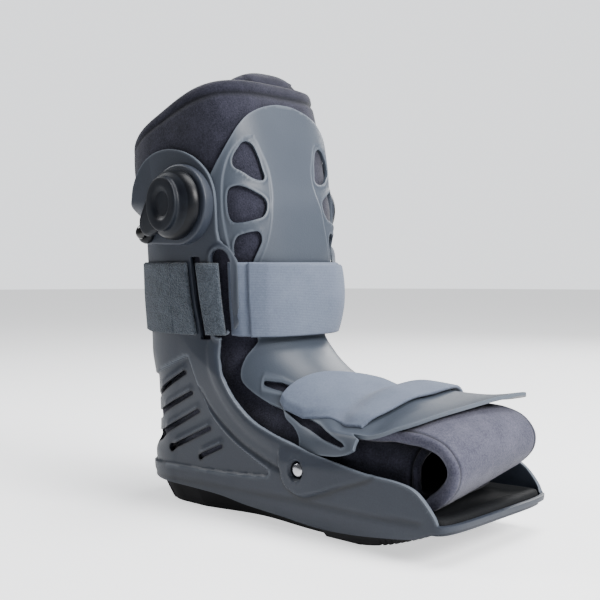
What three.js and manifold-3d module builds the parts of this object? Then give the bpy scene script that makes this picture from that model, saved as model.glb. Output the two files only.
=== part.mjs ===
// A short medical walking boot: a padded liner inside a moulded rear shell and
// a flexible front plate, closed by two straps, on a rubber rocker sole.
// Millimetres. X runs to the toes, Y to the wearer's left, Z up. The origin is
// on the ground under the middle of the sole.
import * as THREE from 'three';
import Module from 'manifold-3d';
import { mergeVertices } from 'three/addons/utils/BufferGeometryUtils.js';
import { LoftGeometry } from 'three/addons/geometries/LoftGeometry.js';

const wasm = await Module();
wasm.setup();

// Driving dimensions
const footLength = 290; // back of the heel to the toe rim
const bootHeight = 300; // ground to the front of the liner's rim
const shellHeight = 246; // ground to the top of the two side wings
const soleWidth = 120; // shell at the ball of the foot
const legWidth = 112; // liner across the calf
const floorHeight = 18; // ground to the inside of the shell's floor
const footbedThickness = 7.5;
const clearance = 0.35; // between pieces that touch
const shellWall = 3;
const plateWall = 2.5;
const linerWall = 7;
const linerFlapWall = 5;
const toeFlapWall = 8;
const toeFlapWidth = 92;
const strapWall = 3;
const tabWall = 2;
const strapWidth = 50;
const strapHeight = 145; // ground to the middle of the ankle strap
const treadPitch = 18;
const treadWidth = 4;
const treadDepth = 1.6;
const outsoleInset = 2.5;
const dialX = -0.2517 * footLength; // axis of the two pump dials
const discRadius = 27.5;
const discAboveStrap = 10.5;
const dialHeight = strapHeight + strapWidth / 2 + discRadius + discAboveStrap;
const discReach = 3.5; // face of the raised disc beyond the shell's side
const knobRadius = 22;
const knobSkirt = 5; // height of the knob's round foot
const paddleReach = 10;
const paddleHalfHeight = 18;
const paddleHalfWidth = 14.5;
const valveX = dialX - 1.09 * discRadius;
const valveHeight = dialHeight - 0.655 * discRadius;
const valveBaseRadius = 6.5;
const valveBaseReach = 3;
const valveButtonRadius = 4.5;
const rivetX = 0.0862 * footLength;
const rivetHeight = 0.1667 * shellHeight;
const rivetRadius = 4.5;
const rivetReach = 2.2;
const recessRadius = 6.5;
const recessDepth = 1.6;
const bossReach = 1.2;
const bossRadius = 15;
const bossTipRadius = 3;
const bossLength = 0.2 * footLength;
const slitFrontRadius = 1.1;

// Fineness of the faceted surfaces
const ringSteps = 7; // in each quarter of a shell outline
const fanSteps = 7; // in each quarter of a liner section
const roundSides = 24;

// What the driving dimensions lead to
const footbedTop = floorHeight + clearance + footbedThickness;
const linerFloor = footbedTop + clearance;
const legStack = legWidth + 2 * (plateWall + shellWall + 2 * clearance);
const plateOffset = clearance + plateWall;

// Materials
const finish = (color, roughness, metalness = 0) =>
  new THREE.MeshStandardMaterial({ color, roughness, metalness });
const rubber = finish(0x16171a, 0.8);
const shellPlastic = finish(0x454b59, 0.5);
const platePlastic = finish(0x7d8794, 0.45);
const padding = finish(0x4a4c5c, 0.95);
const blackPad = finish(0x101114, 0.9);
const webbing = finish(0x98a2b6, 0.8);
const pile = finish(0x737d88, 0.95);
const dialPlastic = finish(0x15181f, 0.35);
const glossPlastic = finish(0x08090b, 0.1);
const steel = finish(0xc9ccd1, 0.25, 1);

// Solids, cuts and joins
const solidOf = (geometry) => {
  geometry.deleteAttribute('normal');
  geometry.deleteAttribute('uv');
  const merged = mergeVertices(geometry, 1e-3);
  return new wasm.Manifold(new wasm.Mesh({
    numProp: 3,
    vertProperties: merged.attributes.position.array,
    triVerts: new Uint32Array(merged.index.array),
  }));
};

const geometryOf = (solid) => {
  const mesh = solid.getMesh();
  const geometry = new THREE.BufferGeometry();
  geometry.setAttribute('position', new THREE.BufferAttribute(mesh.vertProperties, 3));
  geometry.setIndex(new THREE.BufferAttribute(mesh.triVerts, 1));
  return geometry;
};

const mirrored = (solid) => {
  const mesh = solid.getMesh();
  const points = mesh.vertProperties.map((value, i) => (i % 3 === 1 ? -value : value));
  const order = mesh.triVerts.map((_, i, all) => all[i - (i % 3) + (2 - (i % 3))]);
  return new wasm.Manifold(new wasm.Mesh({ numProp: 3, vertProperties: points, triVerts: order }));
};

const loft = (sections) => {
  const lofted = new LoftGeometry(sections, { closed: true, capStart: true, capEnd: true });
  return solidOf(new THREE.BufferGeometry().copy(lofted));
};

const extruded = (points, depth) => {
  const shape = new THREE.Shape(points.map(([across, up]) => new THREE.Vector2(across, up)));
  return new THREE.ExtrudeGeometry(shape, { depth, bevelEnabled: false });
};

// Drawn in the side view as points [x, z], and reaching from one y to another
const sidePrism = (points, from = -2 * soleWidth, to = 2 * soleWidth) =>
  solidOf(extruded(points, to - from).rotateX(Math.PI / 2).translate(0, to, 0));

// Drawn in plan as points [x, y], and reaching from one z to another
const planPrism = (points, from = -bootHeight, to = 2 * bootHeight) =>
  solidOf(extruded(points, to - from).translate(0, 0, from));

// Drawn facing the shin from the right at an angle, as points [across, z]
const obliquePrism = (points, angle, from, to) =>
  solidOf(extruded(points, to - from).translate(0, 0, from).rotateX(Math.PI / 2).rotateZ(angle));

// A round bar along Y, its radius going from one value to another
const crossBar = (x, z, from, to, radiusFrom, radiusTo = radiusFrom) =>
  solidOf(new THREE.CylinderGeometry(radiusTo, radiusFrom, to - from, roundSides)
    .translate(x, (from + to) / 2, z));

// The outline that wraps a large circle and a small one, as points [x, z]
const teardrop = (large, small, steps = 16) => {
  const reach = Math.hypot(small.x - large.x, small.z - large.z);
  const heading = Math.atan2(small.z - large.z, small.x - large.x);
  const spread = Math.acos((large.radius - small.radius) / reach);
  const points = [];
  const arc = (circle, from, to, count) => {
    for (let i = 0; i <= count; i++) {
      const angle = from + (to - from) * i / count;
      points.push([circle.x + circle.radius * Math.cos(angle),
        circle.z + circle.radius * Math.sin(angle)]);
    }
  };
  arc(large, heading + spread, heading + 2 * Math.PI - spread, steps);
  arc(small, heading - spread, heading + spread, Math.ceil(steps / 3));
  return points;
};

const onCurve = (points, steps) =>
  new THREE.SplineCurve(points.map(([x, z]) => new THREE.Vector2(x, z)))
    .getPoints(steps).map((point) => [point.x, point.y]);

// The shell's outline at a height. Lengths along are shares of footLength and
// heights of shellHeight. Half widths are shares of the sole's width low down
// and of the leg's whole stack of walls higher up.
const shellLevels = [
  { height: 0, rear: -0.493, front: 0.448, rearSole: 0.342, foreSole: 0.467, leg: 0,
    rearRound: 0.166, frontRound: 0.083, power: 3 },
  { height: 0.065, rear: -0.517, front: 0.471, rearSole: 0.379, foreSole: 0.496, leg: 0,
    rearRound: 0.179, frontRound: 0.076, power: 3 },
  { height: 0.114, rear: -0.521, front: 0.476, rearSole: 0.388, foreSole: 0.5, leg: 0,
    rearRound: 0.179, frontRound: 0.069, power: 3 },
  { height: 0.236, rear: -0.517, front: 0.441, rearSole: 0.4, foreSole: 0.5, leg: 0,
    rearRound: 0.186, frontRound: 0.103, power: 3 },
  { height: 0.366, rear: -0.514, front: 0.138, rearSole: 0.442, foreSole: 0.483, leg: 0,
    rearRound: 0.207, frontRound: 0.241, power: 2.5 },
  { height: 0.484, rear: -0.514, front: -0.017, rearSole: 0, foreSole: 0, leg: 0.45,
    rearRound: 0.221, frontRound: 0.262, power: 2.5 },
  { height: 0.585, rear: -0.517, front: -0.017, rearSole: 0, foreSole: 0, leg: 0.47,
    rearRound: 0.228, frontRound: 0.262, power: 2.5 },
  { height: 0.691, rear: -0.517, front: -0.017, rearSole: 0, foreSole: 0, leg: 0.482,
    rearRound: 0.228, frontRound: 0.262, power: 2.5 },
  { height: 0.846, rear: -0.521, front: -0.017, rearSole: 0, foreSole: 0, leg: 0.506,
    rearRound: 0.228, frontRound: 0.262, power: 2.5 },
  { height: 1.03, rear: -0.555, front: -0.031, rearSole: 0, foreSole: 0, leg: 0.506,
    rearRound: 0.241, frontRound: 0.262, power: 2.5 },
];

const levelSizes = (level) => ({
  height: level.height * shellHeight,
  rear: level.rear * footLength,
  front: level.front * footLength,
  rearHalf: level.rearSole * soleWidth + level.leg * legStack,
  foreHalf: level.foreSole * soleWidth + level.leg * legStack,
  rearRound: level.rearRound * footLength,
  frontRound: level.frontRound * footLength,
  power: level.power,
});

const shellSizesAt = (height) => {
  const sizes = shellLevels.map(levelSizes);
  const below = sizes.filter((level) => level.height < height).length - 1;
  const lower = Math.min(Math.max(below, 0), sizes.length - 2);
  const [low, high] = [sizes[lower], sizes[lower + 1]];
  const share = (height - low.height) / (high.height - low.height);
  const blend = (key) => [key, low[key] + (high[key] - low[key]) * share];
  return Object.fromEntries(Object.keys(low).map(blend));
};

// A closed outline, rounded at the rear and squarer at the front
const outline = (sizes, grow) => {
  const rear = sizes.rear - grow;
  const front = sizes.front + grow;
  const rearSide = sizes.rear + sizes.rearRound;
  const foreSide = sizes.front - sizes.frontRound;
  const half = [];
  for (let i = 0; i <= ringSteps; i++) {
    const angle = Math.PI / 2 * i / ringSteps;
    half.push([rearSide - (rearSide - rear) * Math.cos(angle),
      (sizes.rearHalf + grow) * Math.sin(angle)]);
  }
  for (let i = 0; i <= ringSteps; i++) {
    const angle = Math.PI / 2 * i / ringSteps;
    half.push([foreSide + (front - foreSide) * Math.sin(angle) ** (2 / sizes.power),
      (sizes.foreHalf + grow) * Math.cos(angle) ** (2 / sizes.power)]);
  }
  half[half.length - 1][1] = 0;
  const right = half.map(([x, y]) => [x, -y]);
  const left = half.slice(1, -1).reverse();
  return [...right, ...left].map(([x, y]) => new THREE.Vector3(x, y, sizes.height));
};

const rings = (levels, grow) => loft(levels.map((sizes) => outline(sizes, grow)));

const shellBody = (grow, from = -1) => {
  const inside = shellLevels.map(levelSizes).filter((sizes) => sizes.height > from);
  const first = from < 0 ? [] : [{ ...shellSizesAt(from), height: from }];
  return rings([...first, ...inside], grow);
};

// The liner's sections fan from the rim round the heel to the toes. Each one
// runs from a point on the shin or instep to a point on the calf or sole.
// Lengths are shares of footLength, heights shares of the liner's height above
// its floor and half widths shares of legWidth. A tilt raises the left side.
const linerStations = [
  { frontX: -0.162, frontZ: 0.996, backX: -0.555, backZ: 0.814, half: 0.518, top: 2.5, base: 2.3 },
  { frontX: -0.131, frontZ: 0.861, backX: -0.548, backZ: 0.741, half: 0.522, top: 2.8, base: 2.3 },
  { frontX: -0.100, frontZ: 0.730, backX: -0.538, backZ: 0.690, half: 0.509, top: 2.7, base: 2.3 },
  { frontX: -0.079, frontZ: 0.646, backX: -0.509, backZ: 0.635, half: 0.500, top: 2.7, base: 2.3 },
  { frontX: -0.072, frontZ: 0.525, backX: -0.509, backZ: 0.518, half: 0.478, top: 2.7, base: 2.3 },
  { frontX: -0.079, frontZ: 0.434, backX: -0.507, backZ: 0.427, half: 0.464, top: 2.7, base: 2.3 },
  { frontX: -0.066, frontZ: 0.350, backX: -0.507, backZ: 0.284, half: 0.451, top: 2.6, base: 2.4 },
  { frontX: -0.028, frontZ: 0.299, backX: -0.507, backZ: 0.145, half: 0.442, top: 2.5, base: 2.6 },
  { frontX: 0.010, frontZ: 0.264, backX: -0.483, backZ: 0.036, half: 0.433, top: 2.4, base: 3 },
  { frontX: 0.048, frontZ: 0.240, backX: -0.400, backZ: 0, half: 0.429, top: 2.3, base: 3.6 },
  { frontX: 0.097, frontZ: 0.220, backX: -0.228, backZ: 0, half: 0.429, top: 2.3, base: 4 },
  { frontX: 0.152, frontZ: 0.202, backX: -0.028, backZ: 0, half: 0.433, top: 2.3, base: 4 },
  { frontX: 0.214, frontZ: 0.182, backX: 0.159, backZ: 0, half: 0.429, top: 2.3, base: 4 },
  { frontX: 0.310, frontZ: 0.160, backX: 0.303, backZ: 0, half: 0.415, top: 2.3, base: 4 },
  { frontX: 0.369, frontZ: 0.148, backX: 0.369, backZ: 0, half: 0.402, top: 2.3, base: 4 },
];

// Past the instep the plate leaves the liner and rides over the folded toe flap
const plateStations = [
  ...linerStations.slice(0, 12),
  { frontX: 0.214, frontZ: 0.217, backX: 0.159, backZ: 0, half: 0.495, top: 2.5, base: 4, tilt: 0.05 },
  { frontX: 0.310, frontZ: 0.206, backX: 0.303, backZ: 0, half: 0.540, top: 2.8, base: 4, tilt: 0.08 },
  { frontX: 0.386, frontZ: 0.204, backX: 0.386, backZ: 0, half: 0.560, top: 2.8, base: 4, tilt: 0.09 },
  { frontX: 0.448, frontZ: 0.214, backX: 0.448, backZ: 0, half: 0.560, top: 2.8, base: 4, tilt: 0.09 },
];

const stationSizes = (station) => {
  const along = (share) => share * footLength;
  const up = (share) => linerFloor + share * (bootHeight - linerFloor);
  return {
    front: new THREE.Vector2(along(station.frontX), up(station.frontZ)),
    back: new THREE.Vector2(along(station.backX), up(station.backZ)),
    half: station.half * legWidth,
    top: station.top,
    base: station.base,
    tilt: station.tilt ?? 0,
  };
};

const fanSection = (sizes, grow) => {
  const across = sizes.front.clone().sub(sizes.back).normalize();
  const middle = sizes.front.clone().add(sizes.back).multiplyScalar(0.5);
  const reach = sizes.front.distanceTo(sizes.back) / 2 + grow;
  const points = [];
  for (let i = 0; i < 4 * fanSteps; i++) {
    const angle = Math.PI / 2 * i / fanSteps;
    const power = 2 / (Math.cos(angle) > 0 ? sizes.top : sizes.base);
    const bent = (value) => Math.sign(value) * Math.abs(value) ** power;
    const centre = middle.clone().addScaledVector(across, reach * bent(Math.cos(angle)));
    const y = -(sizes.half + grow) * bent(Math.sin(angle));
    points.push(new THREE.Vector3(centre.x, y, centre.y + sizes.tilt * y));
  }
  return points;
};

// The sections' ends may be carried past the first and the last one
const fan = (stations, grow, pastTop = 0, pastToe = 0) => {
  const sections = stations.map((station) => fanSection(stationSizes(station), grow));
  const carried = (section, dx, dz) =>
    section.map((point) => point.clone().add(new THREE.Vector3(dx, 0, dz)));
  if (pastTop) sections.unshift(carried(sections[0], -0.2 * pastTop, pastTop));
  if (pastToe) sections.push(carried(sections[sections.length - 1], pastToe, 0));
  return loft(sections);
};

// Outlines drawn in the side view: lengths as shares of footLength, heights as
// shares of shellHeight
const drawn = (shares) => shares.map(([x, z]) => [x * footLength, z * shellHeight]);

const soleLine = drawn([
  [-0.6, 0.060], [-0.355, 0.057], [-0.186, 0.053], [-0.093, 0.041], [0.024, 0.033],
  [0.124, 0.025], [0.221, 0.029], [0.314, 0.041], [0.393, 0.053], [0.452, 0.064], [0.52, 0.07],
]);
const wallTop = onCurve(drawn([
  [0.452, 0.096], [0.441, 0.118], [0.417, 0.150], [0.390, 0.171], [0.345, 0.181],
  [0.266, 0.187], [0.176, 0.207], [0.100, 0.220], [0.010, 0.244], [-0.055, 0.274],
  [-0.100, 0.321], [-0.128, 0.378], [-0.148, 0.439],
]), 24);
const strapEar = drawn([
  [-0.134, 0.463], [-0.117, 0.478], [-0.110, 0.508], [-0.110, 0.671], [-0.117, 0.707],
  [-0.136, 0.723], [-0.153, 0.740],
]);
const wingTop = onCurve(drawn([
  [-0.155, 0.846], [-0.162, 0.894], [-0.183, 0.939], [-0.217, 0.976], [-0.293, 1.0],
  [-0.369, 0.988], [-0.414, 0.955], [-0.441, 0.907], [-0.447, 0.854], [-0.462, 0.829],
  [-0.490, 0.821], [-0.6, 0.821],
]), 20);
const rimTop = drawn([[0.52, 0.094]]);
const shellProfile = [...soleLine, ...rimTop, ...wallTop, ...strapEar, ...wingTop];

const slotRear = drawn([[-0.231, 0.699], [-0.207, 0.699], [-0.190, 0.484], [-0.217, 0.484]]);
const slotFront = drawn([[-0.155, 0.687], [-0.128, 0.687], [-0.128, 0.492], [-0.155, 0.492]]);
const slits = [
  { x: -0.279, z: 0.382, endX: -0.400, endZ: 0.313, endRadius: 2 },
  { x: -0.262, z: 0.325, endX: -0.403, endZ: 0.252, endRadius: 3.6 },
  { x: -0.245, z: 0.276, endX: -0.410, endZ: 0.185, endRadius: 4 },
  { x: -0.210, z: 0.232, endX: -0.372, endZ: 0.150, endRadius: 3 },
  { x: -0.172, z: 0.187, endX: -0.255, endZ: 0.146, endRadius: 1.7 },
];

const boss = teardrop(
  { x: rivetX, z: rivetHeight - bossReach, radius: bossRadius },
  { x: rivetX + bossLength, z: rivetHeight + bossTipRadius, radius: bossTipRadius },
);
const disc = teardrop(
  { x: dialX, z: dialHeight, radius: discRadius },
  { x: valveX, z: valveHeight, radius: valveBaseRadius + 1.5 },
);
const sideAt = (height) => shellSizesAt(height).foreHalf;
const discFace = sideAt(dialHeight) + discReach;

// Each slit is narrow at its front and widens to the rear
const slitPrism = (slit) => {
  const [[x, z], [endX, endZ]] = drawn([[slit.x, slit.z], [slit.endX, slit.endZ]]);
  return sidePrism(teardrop(
    { x: endX, z: endZ, radius: slit.endRadius },
    { x, z, radius: slitFrontRadius },
    6,
  ));
};

const rearShell = () => {
  const profile = sidePrism(shellProfile);
  const onSides = (points, from, to) => {
    const right = sidePrism(points, -to, -from);
    return right.add(sidePrism(points, from, to));
  };
  let shell = shellBody(0).intersect(profile);
  shell = shell.add(shellBody(bossReach).intersect(sidePrism(boss)).intersect(profile));
  shell = shell.add(onSides(disc, sideAt(dialHeight) - 3 * shellWall, discFace));
  shell = shell.subtract(shellBody(-shellWall, floorHeight));
  const keepMiddle = soleWidth / 6;
  const openings = [slotRear, slotFront].map((points) => onSides(points, keepMiddle, soleWidth));
  for (const cut of openings) shell = shell.subtract(cut);
  for (const slit of slits) shell = shell.subtract(slitPrism(slit));
  const recess = wallSideAt(rivetX, rivetHeight) + bossReach - recessDepth;
  for (const side of [[recess, soleWidth], [-soleWidth, -recess]]) {
    shell = shell.subtract(crossBar(rivetX, rivetHeight, ...side, recessRadius));
  }
  return shell;
};

// How far out the shell's side wall stands at a place along the foot
const wallSideAt = (x, height) => {
  const sizes = shellSizesAt(height);
  const rearSide = sizes.rear + sizes.rearRound;
  const foreSide = sizes.front - sizes.frontRound;
  return sizes.rearHalf + (sizes.foreHalf - sizes.rearHalf) * (x - rearSide) / (foreSide - rearSide);
};

const groundLine = drawn([
  [0.52, 0.052], [0.459, 0.043], [0.421, 0.030], [0.359, 0.012], [0.293, 0], [-0.379, 0],
  [-0.448, 0.008], [-0.493, 0.022], [-0.6, 0.045],
]);

// The sole's waist in plan, as shares of footLength and soleWidth
const soleWaist = [[-0.31, 0.39], [-0.1, 0.31], [0.06, 0.39]];
const treadReach = 0.42; // share of footLength, each way from the middle

const outsole = () => {
  const lowered = soleLine.map(([x, z]) => [x, z - clearance]);
  const levels = [-0.01, 0.05, 0.09].map((height) => ({
    ...levelSizes(shellLevels[1]), height: height * shellHeight }));
  let sole = rings(levels, -outsoleInset).intersect(sidePrism([...lowered, ...groundLine]));
  const [rear, , front] = soleWaist.map(([x]) => x * footLength);
  for (const side of [-1, 1]) {
    const curve = onCurve(soleWaist.map(([x, y]) => [x * footLength, side * y * soleWidth]), 10);
    sole = sole.subtract(planPrism([...curve, [front, side * soleWidth], [rear, side * soleWidth]]));
  }
  const grooves = Math.floor(treadReach * footLength / treadPitch);
  for (let i = -grooves; i < grooves; i++) {
    const middle = (i + 0.5) * treadPitch;
    const groove = [[-1, -1], [1, -1], [1, 1], [-1, 1]].map(([across, up]) =>
      [middle + across * treadWidth / 2, up * treadDepth]);
    sole = sole.subtract(sidePrism(groove));
  }
  return sole;
};

const footbed = () => {
  const levels = [floorHeight + clearance, footbedTop].map(
    (height) => ({ ...shellSizesAt(floorHeight), height }));
  return rings(levels, -shellWall - clearance);
};

// What the liner and the plate must stay clear of: the shell, and all that lies
// beyond its walls
const shellKeepOut = () => {
  const reach = 1.5 * clearance;
  const raised = shellProfile.map(([x, z]) => [x + reach, z + reach]);
  const block = sidePrism(shellProfile).add(sidePrism(raised));
  return block.subtract(shellBody(-shellWall - clearance, linerFloor - 2 * clearance));
};

const liner = () => {
  const hollow = fan(linerStations, -linerWall, linerWall * 2, linerWall * 2);
  return fan(linerStations, 0).subtract(shellKeepOut()).subtract(hollow);
};

const skin = (stations, inner, outer, ...regions) => {
  let sheet = fan(stations, outer, 2 * linerWall, 2 * linerWall);
  for (const region of regions) sheet = sheet.intersect(region);
  return sheet.subtract(fan(stations, inner, 4 * linerWall, 4 * linerWall));
};

// An inner flap closes the liner's front behind the plate. It is drawn in the
// side view as shares of footLength and bootHeight.
const linerFlapSide = [
  [-0.30, 0.985], [-0.22, 1.012], [-0.08, 1.0], [0.03, 0.85], [-0.02, 0.70], [-0.20, 0.66],
  [-0.32, 0.72], [-0.36, 0.90],
];

const linerFlap = () => {
  const around = [linerFlapSide[linerFlapSide.length - 1], ...linerFlapSide];
  const curve = onCurve(around.map(([x, z]) => [x * footLength, z * bootHeight]), 20);
  const outer = -linerWall - clearance;
  return skin(linerStations, outer - linerFlapWall, outer, sidePrism(curve.slice(1)));
};

// The padded toe flap starts on the footbed, folds up over the toes and lies
// back over the liner. Its path is drawn in the side view as shares of
// footLength and of the liner's height.
const toeFlapPath = [
  [0.200, 0.2145], [0.260, 0.207], [0.330, 0.199], [0.386, 0.194], [0.434, 0.172],
  [0.462, 0.128], [0.461, 0.080], [0.436, 0.036], [0.400, 0.001],
];
const toeFlapCrown = 0.14; // share of its height that the flap loses at its ends
const toeFlapTilt = 0.09; // rise towards the left side

const offsetPath = (points, distance) => points.map(([x, z], i) => {
  const [fromX, fromZ] = points[Math.max(0, i - 1)];
  const [toX, toZ] = points[Math.min(points.length - 1, i + 1)];
  const length = Math.hypot(toX - fromX, toZ - fromZ);
  return [x + distance * (toZ - fromZ) / length, z - distance * (toX - fromX) / length];
});

const toeFlap = () => {
  const rise = bootHeight - linerFloor;
  const path = onCurve(toeFlapPath.map(([x, z]) => [x * footLength, linerFloor + z * rise]), 14);
  const inner = offsetPath(path, toeFlapWall).map(([x, z]) => [x, Math.max(z, linerFloor)]);
  const loop = [...path, ...inner.reverse()];
  const steps = 6;
  const sections = [];
  for (let i = 0; i <= steps; i++) {
    const across = 2 * i / steps - 1;
    const y = across * toeFlapWidth / 2;
    sections.push(loop.map(([x, z]) => {
      const lift = (z - linerFloor) / (toeFlapPath[0][1] * rise);
      const height = (z - linerFloor) * (1 - toeFlapCrown * across * across);
      return new THREE.Vector3(x, y, linerFloor + height + toeFlapTilt * y * lift);
    }));
  }
  const underPlate = skin(plateStations, 0, 3 * linerWall, planPrism(plateToe));
  return loft(sections).subtract(fan(linerStations, clearance)).subtract(underPlate);
};

// The plate as seen from the side, and its toe end as seen from above
const plateSide = drawn([
  [0.2, 1.3], [-0.10, 1.145], [-0.155, 1.136], [-0.159, 1.098], [-0.172, 1.053], [-0.186, 1.008],
  [-0.203, 0.959], [-0.210, 0.90], [-0.207, 0.65], [-0.16, 0.56], [-0.105, 0.51], [-0.097, 0.476],
  [-0.114, 0.43], [-0.119, 0.39], [-0.107, 0.362], [-0.069, 0.333], [-0.034, 0.317],
  [0.007, 0.301], [0.035, 0.278], [0.062, 0.25], [0.072, 0.215], [0.1, 0.207], [0.17, 0.211],
  [0.207, 0.222], [0.224, 0.24], [0.228, 0.262], [0.5, 0.262],
]);
const plateToe = [
  [-0.5, -1], [0.235, -1], [0.25, -0.47], [0.33, -0.44], [0.372, -0.32], [0.40, -0.12],
  [0.416, 0.1], [0.426, 0.34], [0.418, 0.42], [0.25, 0.47], [0.235, 1], [-0.5, 1],
].map(([x, y]) => [x * footLength, y * soleWidth]);

// Three windows lie in each side of the shin, seen square to the plate there
const windowAngle = 40 * Math.PI / 180;
const windows = [
  [[-0.453, 1.018], [-0.421, 1.008], [-0.350, 0.925], [-0.366, 0.908], [-0.44, 0.923], [-0.53, 0.951]],
  [[-0.513, 0.896], [-0.566, 0.88], [-0.568, 0.82], [-0.516, 0.793], [-0.363, 0.809],
    [-0.327, 0.837], [-0.345, 0.864]],
  [[-0.379, 0.768], [-0.497, 0.752], [-0.529, 0.732], [-0.511, 0.68], [-0.465, 0.635],
    [-0.43, 0.65], [-0.361, 0.752]],
].map((shares) => shares.map(([across, z]) => [across * legWidth, z * shellHeight]));

// The instep has a long slot near each edge, and the arms carry one for the strap
const instepSlot = { x: -0.045, y: 0.325, endX: 0.09, endY: 0.31, radius: 2.2 };
const armSlot = drawn([[0.024, 0.305], [0.045, 0.325], [0.205, 0.262], [0.203, 0.238], [0.185, 0.238]]);

const frontPlate = () => {
  let plate = skin(plateStations, clearance, plateOffset, sidePrism(plateSide), planPrism(plateToe));
  plate = plate.subtract(shellKeepOut());
  const cuts = windows.map((points) =>
    obliquePrism(points, windowAngle, -legWidth / 4, legWidth));
  cuts.push(sidePrism(armSlot, -soleWidth, -soleWidth / 4));
  const slot = teardrop(
    { x: instepSlot.x * footLength, z: -instepSlot.y * soleWidth, radius: instepSlot.radius + 0.2 },
    { x: instepSlot.endX * footLength, z: -instepSlot.endY * soleWidth, radius: instepSlot.radius },
  );
  cuts.push(planPrism(slot, linerFloor + legWidth / 4, shellHeight / 2));
  for (const cut of cuts) plate = plate.subtract(cut).subtract(mirrored(cut));
  return plate;
};

// The ankle strap follows the shell round the back, level by level, and stands a
// little off the plate in front
const strapLow = strapHeight - strapWidth / 2;
const strapHigh = strapHeight + strapWidth / 2;
const strapFrontRound = 0.228 * footLength;
const strapLean = 0.14; // forward shift of its cut edges for each step down

// How far forward the plate reaches at any height from low to high
const plateReach = (low, high) => {
  const points = plateStations.map(stationSizes).map(({ front, back }) =>
    front.clone().addScaledVector(front.clone().sub(back).normalize(), plateOffset));
  const reaches = points.filter((point) => point.y > low && point.y < high).map((point) => point.x);
  for (let i = 1; i < points.length; i++) {
    const [above, below] = [points[i - 1], points[i]];
    for (const height of [low, high].filter((z) => z <= above.y && z >= below.y)) {
      const share = (above.y - height) / (above.y - below.y);
      reaches.push(above.x + (below.x - above.x) * share);
    }
  }
  return Math.max(...reaches);
};

const strapRing = (from, to) => {
  const kinks = shellLevels.map((level) => level.height * shellHeight)
    .filter((height) => height > strapLow + 1 && height < strapHigh - 1);
  const front = plateReach(strapLow, strapHigh) + 3 * clearance;
  const levelAt = (height) =>
    ({ ...shellSizesAt(height), height, front, frontRound: strapFrontRound, power: 3 });
  const levels = [strapLow, ...kinks, strapHigh].map(levelAt);
  const room = [{ ...levels[0], height: strapLow - 1 }, ...levels,
    { ...levels[levels.length - 1], height: strapHigh + 1 }];
  return rings(levels, to).subtract(rings(room, from));
};

const between = (rear, front) => {
  const low = strapHeight - strapWidth;
  const high = strapHeight + strapWidth;
  const lean = (x, z) => x * footLength - strapLean * (z - strapHeight);
  return sidePrism([
    [lean(rear, low), low], [lean(front, low), low], [lean(front, high), high], [lean(rear, high), high],
  ]);
};

const rightSide = planPrism([[-footLength, -legWidth], [footLength, -legWidth], [footLength, 0],
  [-footLength, 0]]);

const rearStrap = () => strapRing(clearance, clearance + strapWall).intersect(between(-1, -0.229));
const strapWrap = () => strapRing(clearance, clearance + strapWall)
  .intersect(between(-0.199, -0.147)).intersect(rightSide);
const frontStrap = () => strapRing(clearance, clearance + strapWall).intersect(between(-0.120, 1));
const strapTab = () => {
  const inner = 2 * clearance + strapWall;
  const rightEnd = -0.088 * footLength;
  const leftEnd = -0.150 * footLength;
  const region = planPrism([[rightEnd, -legWidth], [footLength, -legWidth], [footLength, legWidth],
    [leftEnd, legWidth]]);
  return strapRing(inner, inner + tabWall).intersect(region);
};

// The forefoot strap crosses the plate from the right arm to the left one
const forefootStrap = () => {
  const plan = onCurve([
    [-0.02, -0.45], [-0.003, -0.31], [0.04, -0.12], [0.075, 0.08], [0.105, 0.25], [0.135, 0.40],
  ], 10);
  const back = onCurve([
    [0.245, 0.41], [0.283, 0.2], [0.288, 0], [0.262, -0.2], [0.222, -0.33], [0.185, -0.45],
  ], 10);
  const region = planPrism([...plan, ...back].map(([x, y]) => [x * footLength, y * soleWidth]));
  const side = sidePrism(drawn([
    [-0.2, 0.33], [0.024, 0.325], [0.062, 0.312], [0.12, 0.302], [0.19, 0.296], [0.23, 0.292],
    [0.4, 0.292], [0.4, 0.8], [-0.2, 0.8]]));
  const inner = plateOffset + clearance;
  return skin(plateStations, inner, inner + strapWall, region, side);
};

const knob = () => {
  const foot = discFace + clearance;
  const skirt = crossBar(dialX, dialHeight, foot, foot + knobSkirt, knobRadius, 0.8 * knobRadius);
  const oval = [];
  for (let i = 0; i < roundSides; i++) {
    const angle = 2 * Math.PI * i / roundSides;
    oval.push([dialX + paddleHalfWidth * Math.cos(angle), dialHeight + paddleHalfHeight * Math.sin(angle)]);
  }
  return skirt.add(sidePrism(oval, foot + knobSkirt / 2, foot + knobSkirt + paddleReach));
};

const valveBase = () => {
  const foot = discFace + clearance;
  return crossBar(valveX, valveHeight, foot, foot + valveBaseReach, valveBaseRadius);
};

const valveButton = () => {
  const foot = discFace + 2 * clearance + valveBaseReach;
  const dome = new THREE.SphereGeometry(valveButtonRadius, 16, 10).translate(valveX, foot, valveHeight);
  const room = crossBar(valveX, valveHeight, foot, foot + 2 * valveButtonRadius, 2 * valveButtonRadius);
  return solidOf(dome).intersect(room);
};

const rivet = () => {
  const foot = wallSideAt(rivetX, rivetHeight) + bossReach - recessDepth + clearance;
  return crossBar(rivetX, rivetHeight, foot, foot + rivetReach, rivetRadius, 0.6 * rivetRadius);
};

const boot = new THREE.Group();

const addPiece = (name, solid, look) => {
  const mesh = new THREE.Mesh(geometryOf(solid), look);
  mesh.name = name;
  boot.add(mesh);
};

// Drawn on the left side and copied to the right
const addPair = (name, solid, look) => {
  addPiece(`${name}_left`, solid, look);
  addPiece(`${name}_right`, mirrored(solid), look);
};

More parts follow.
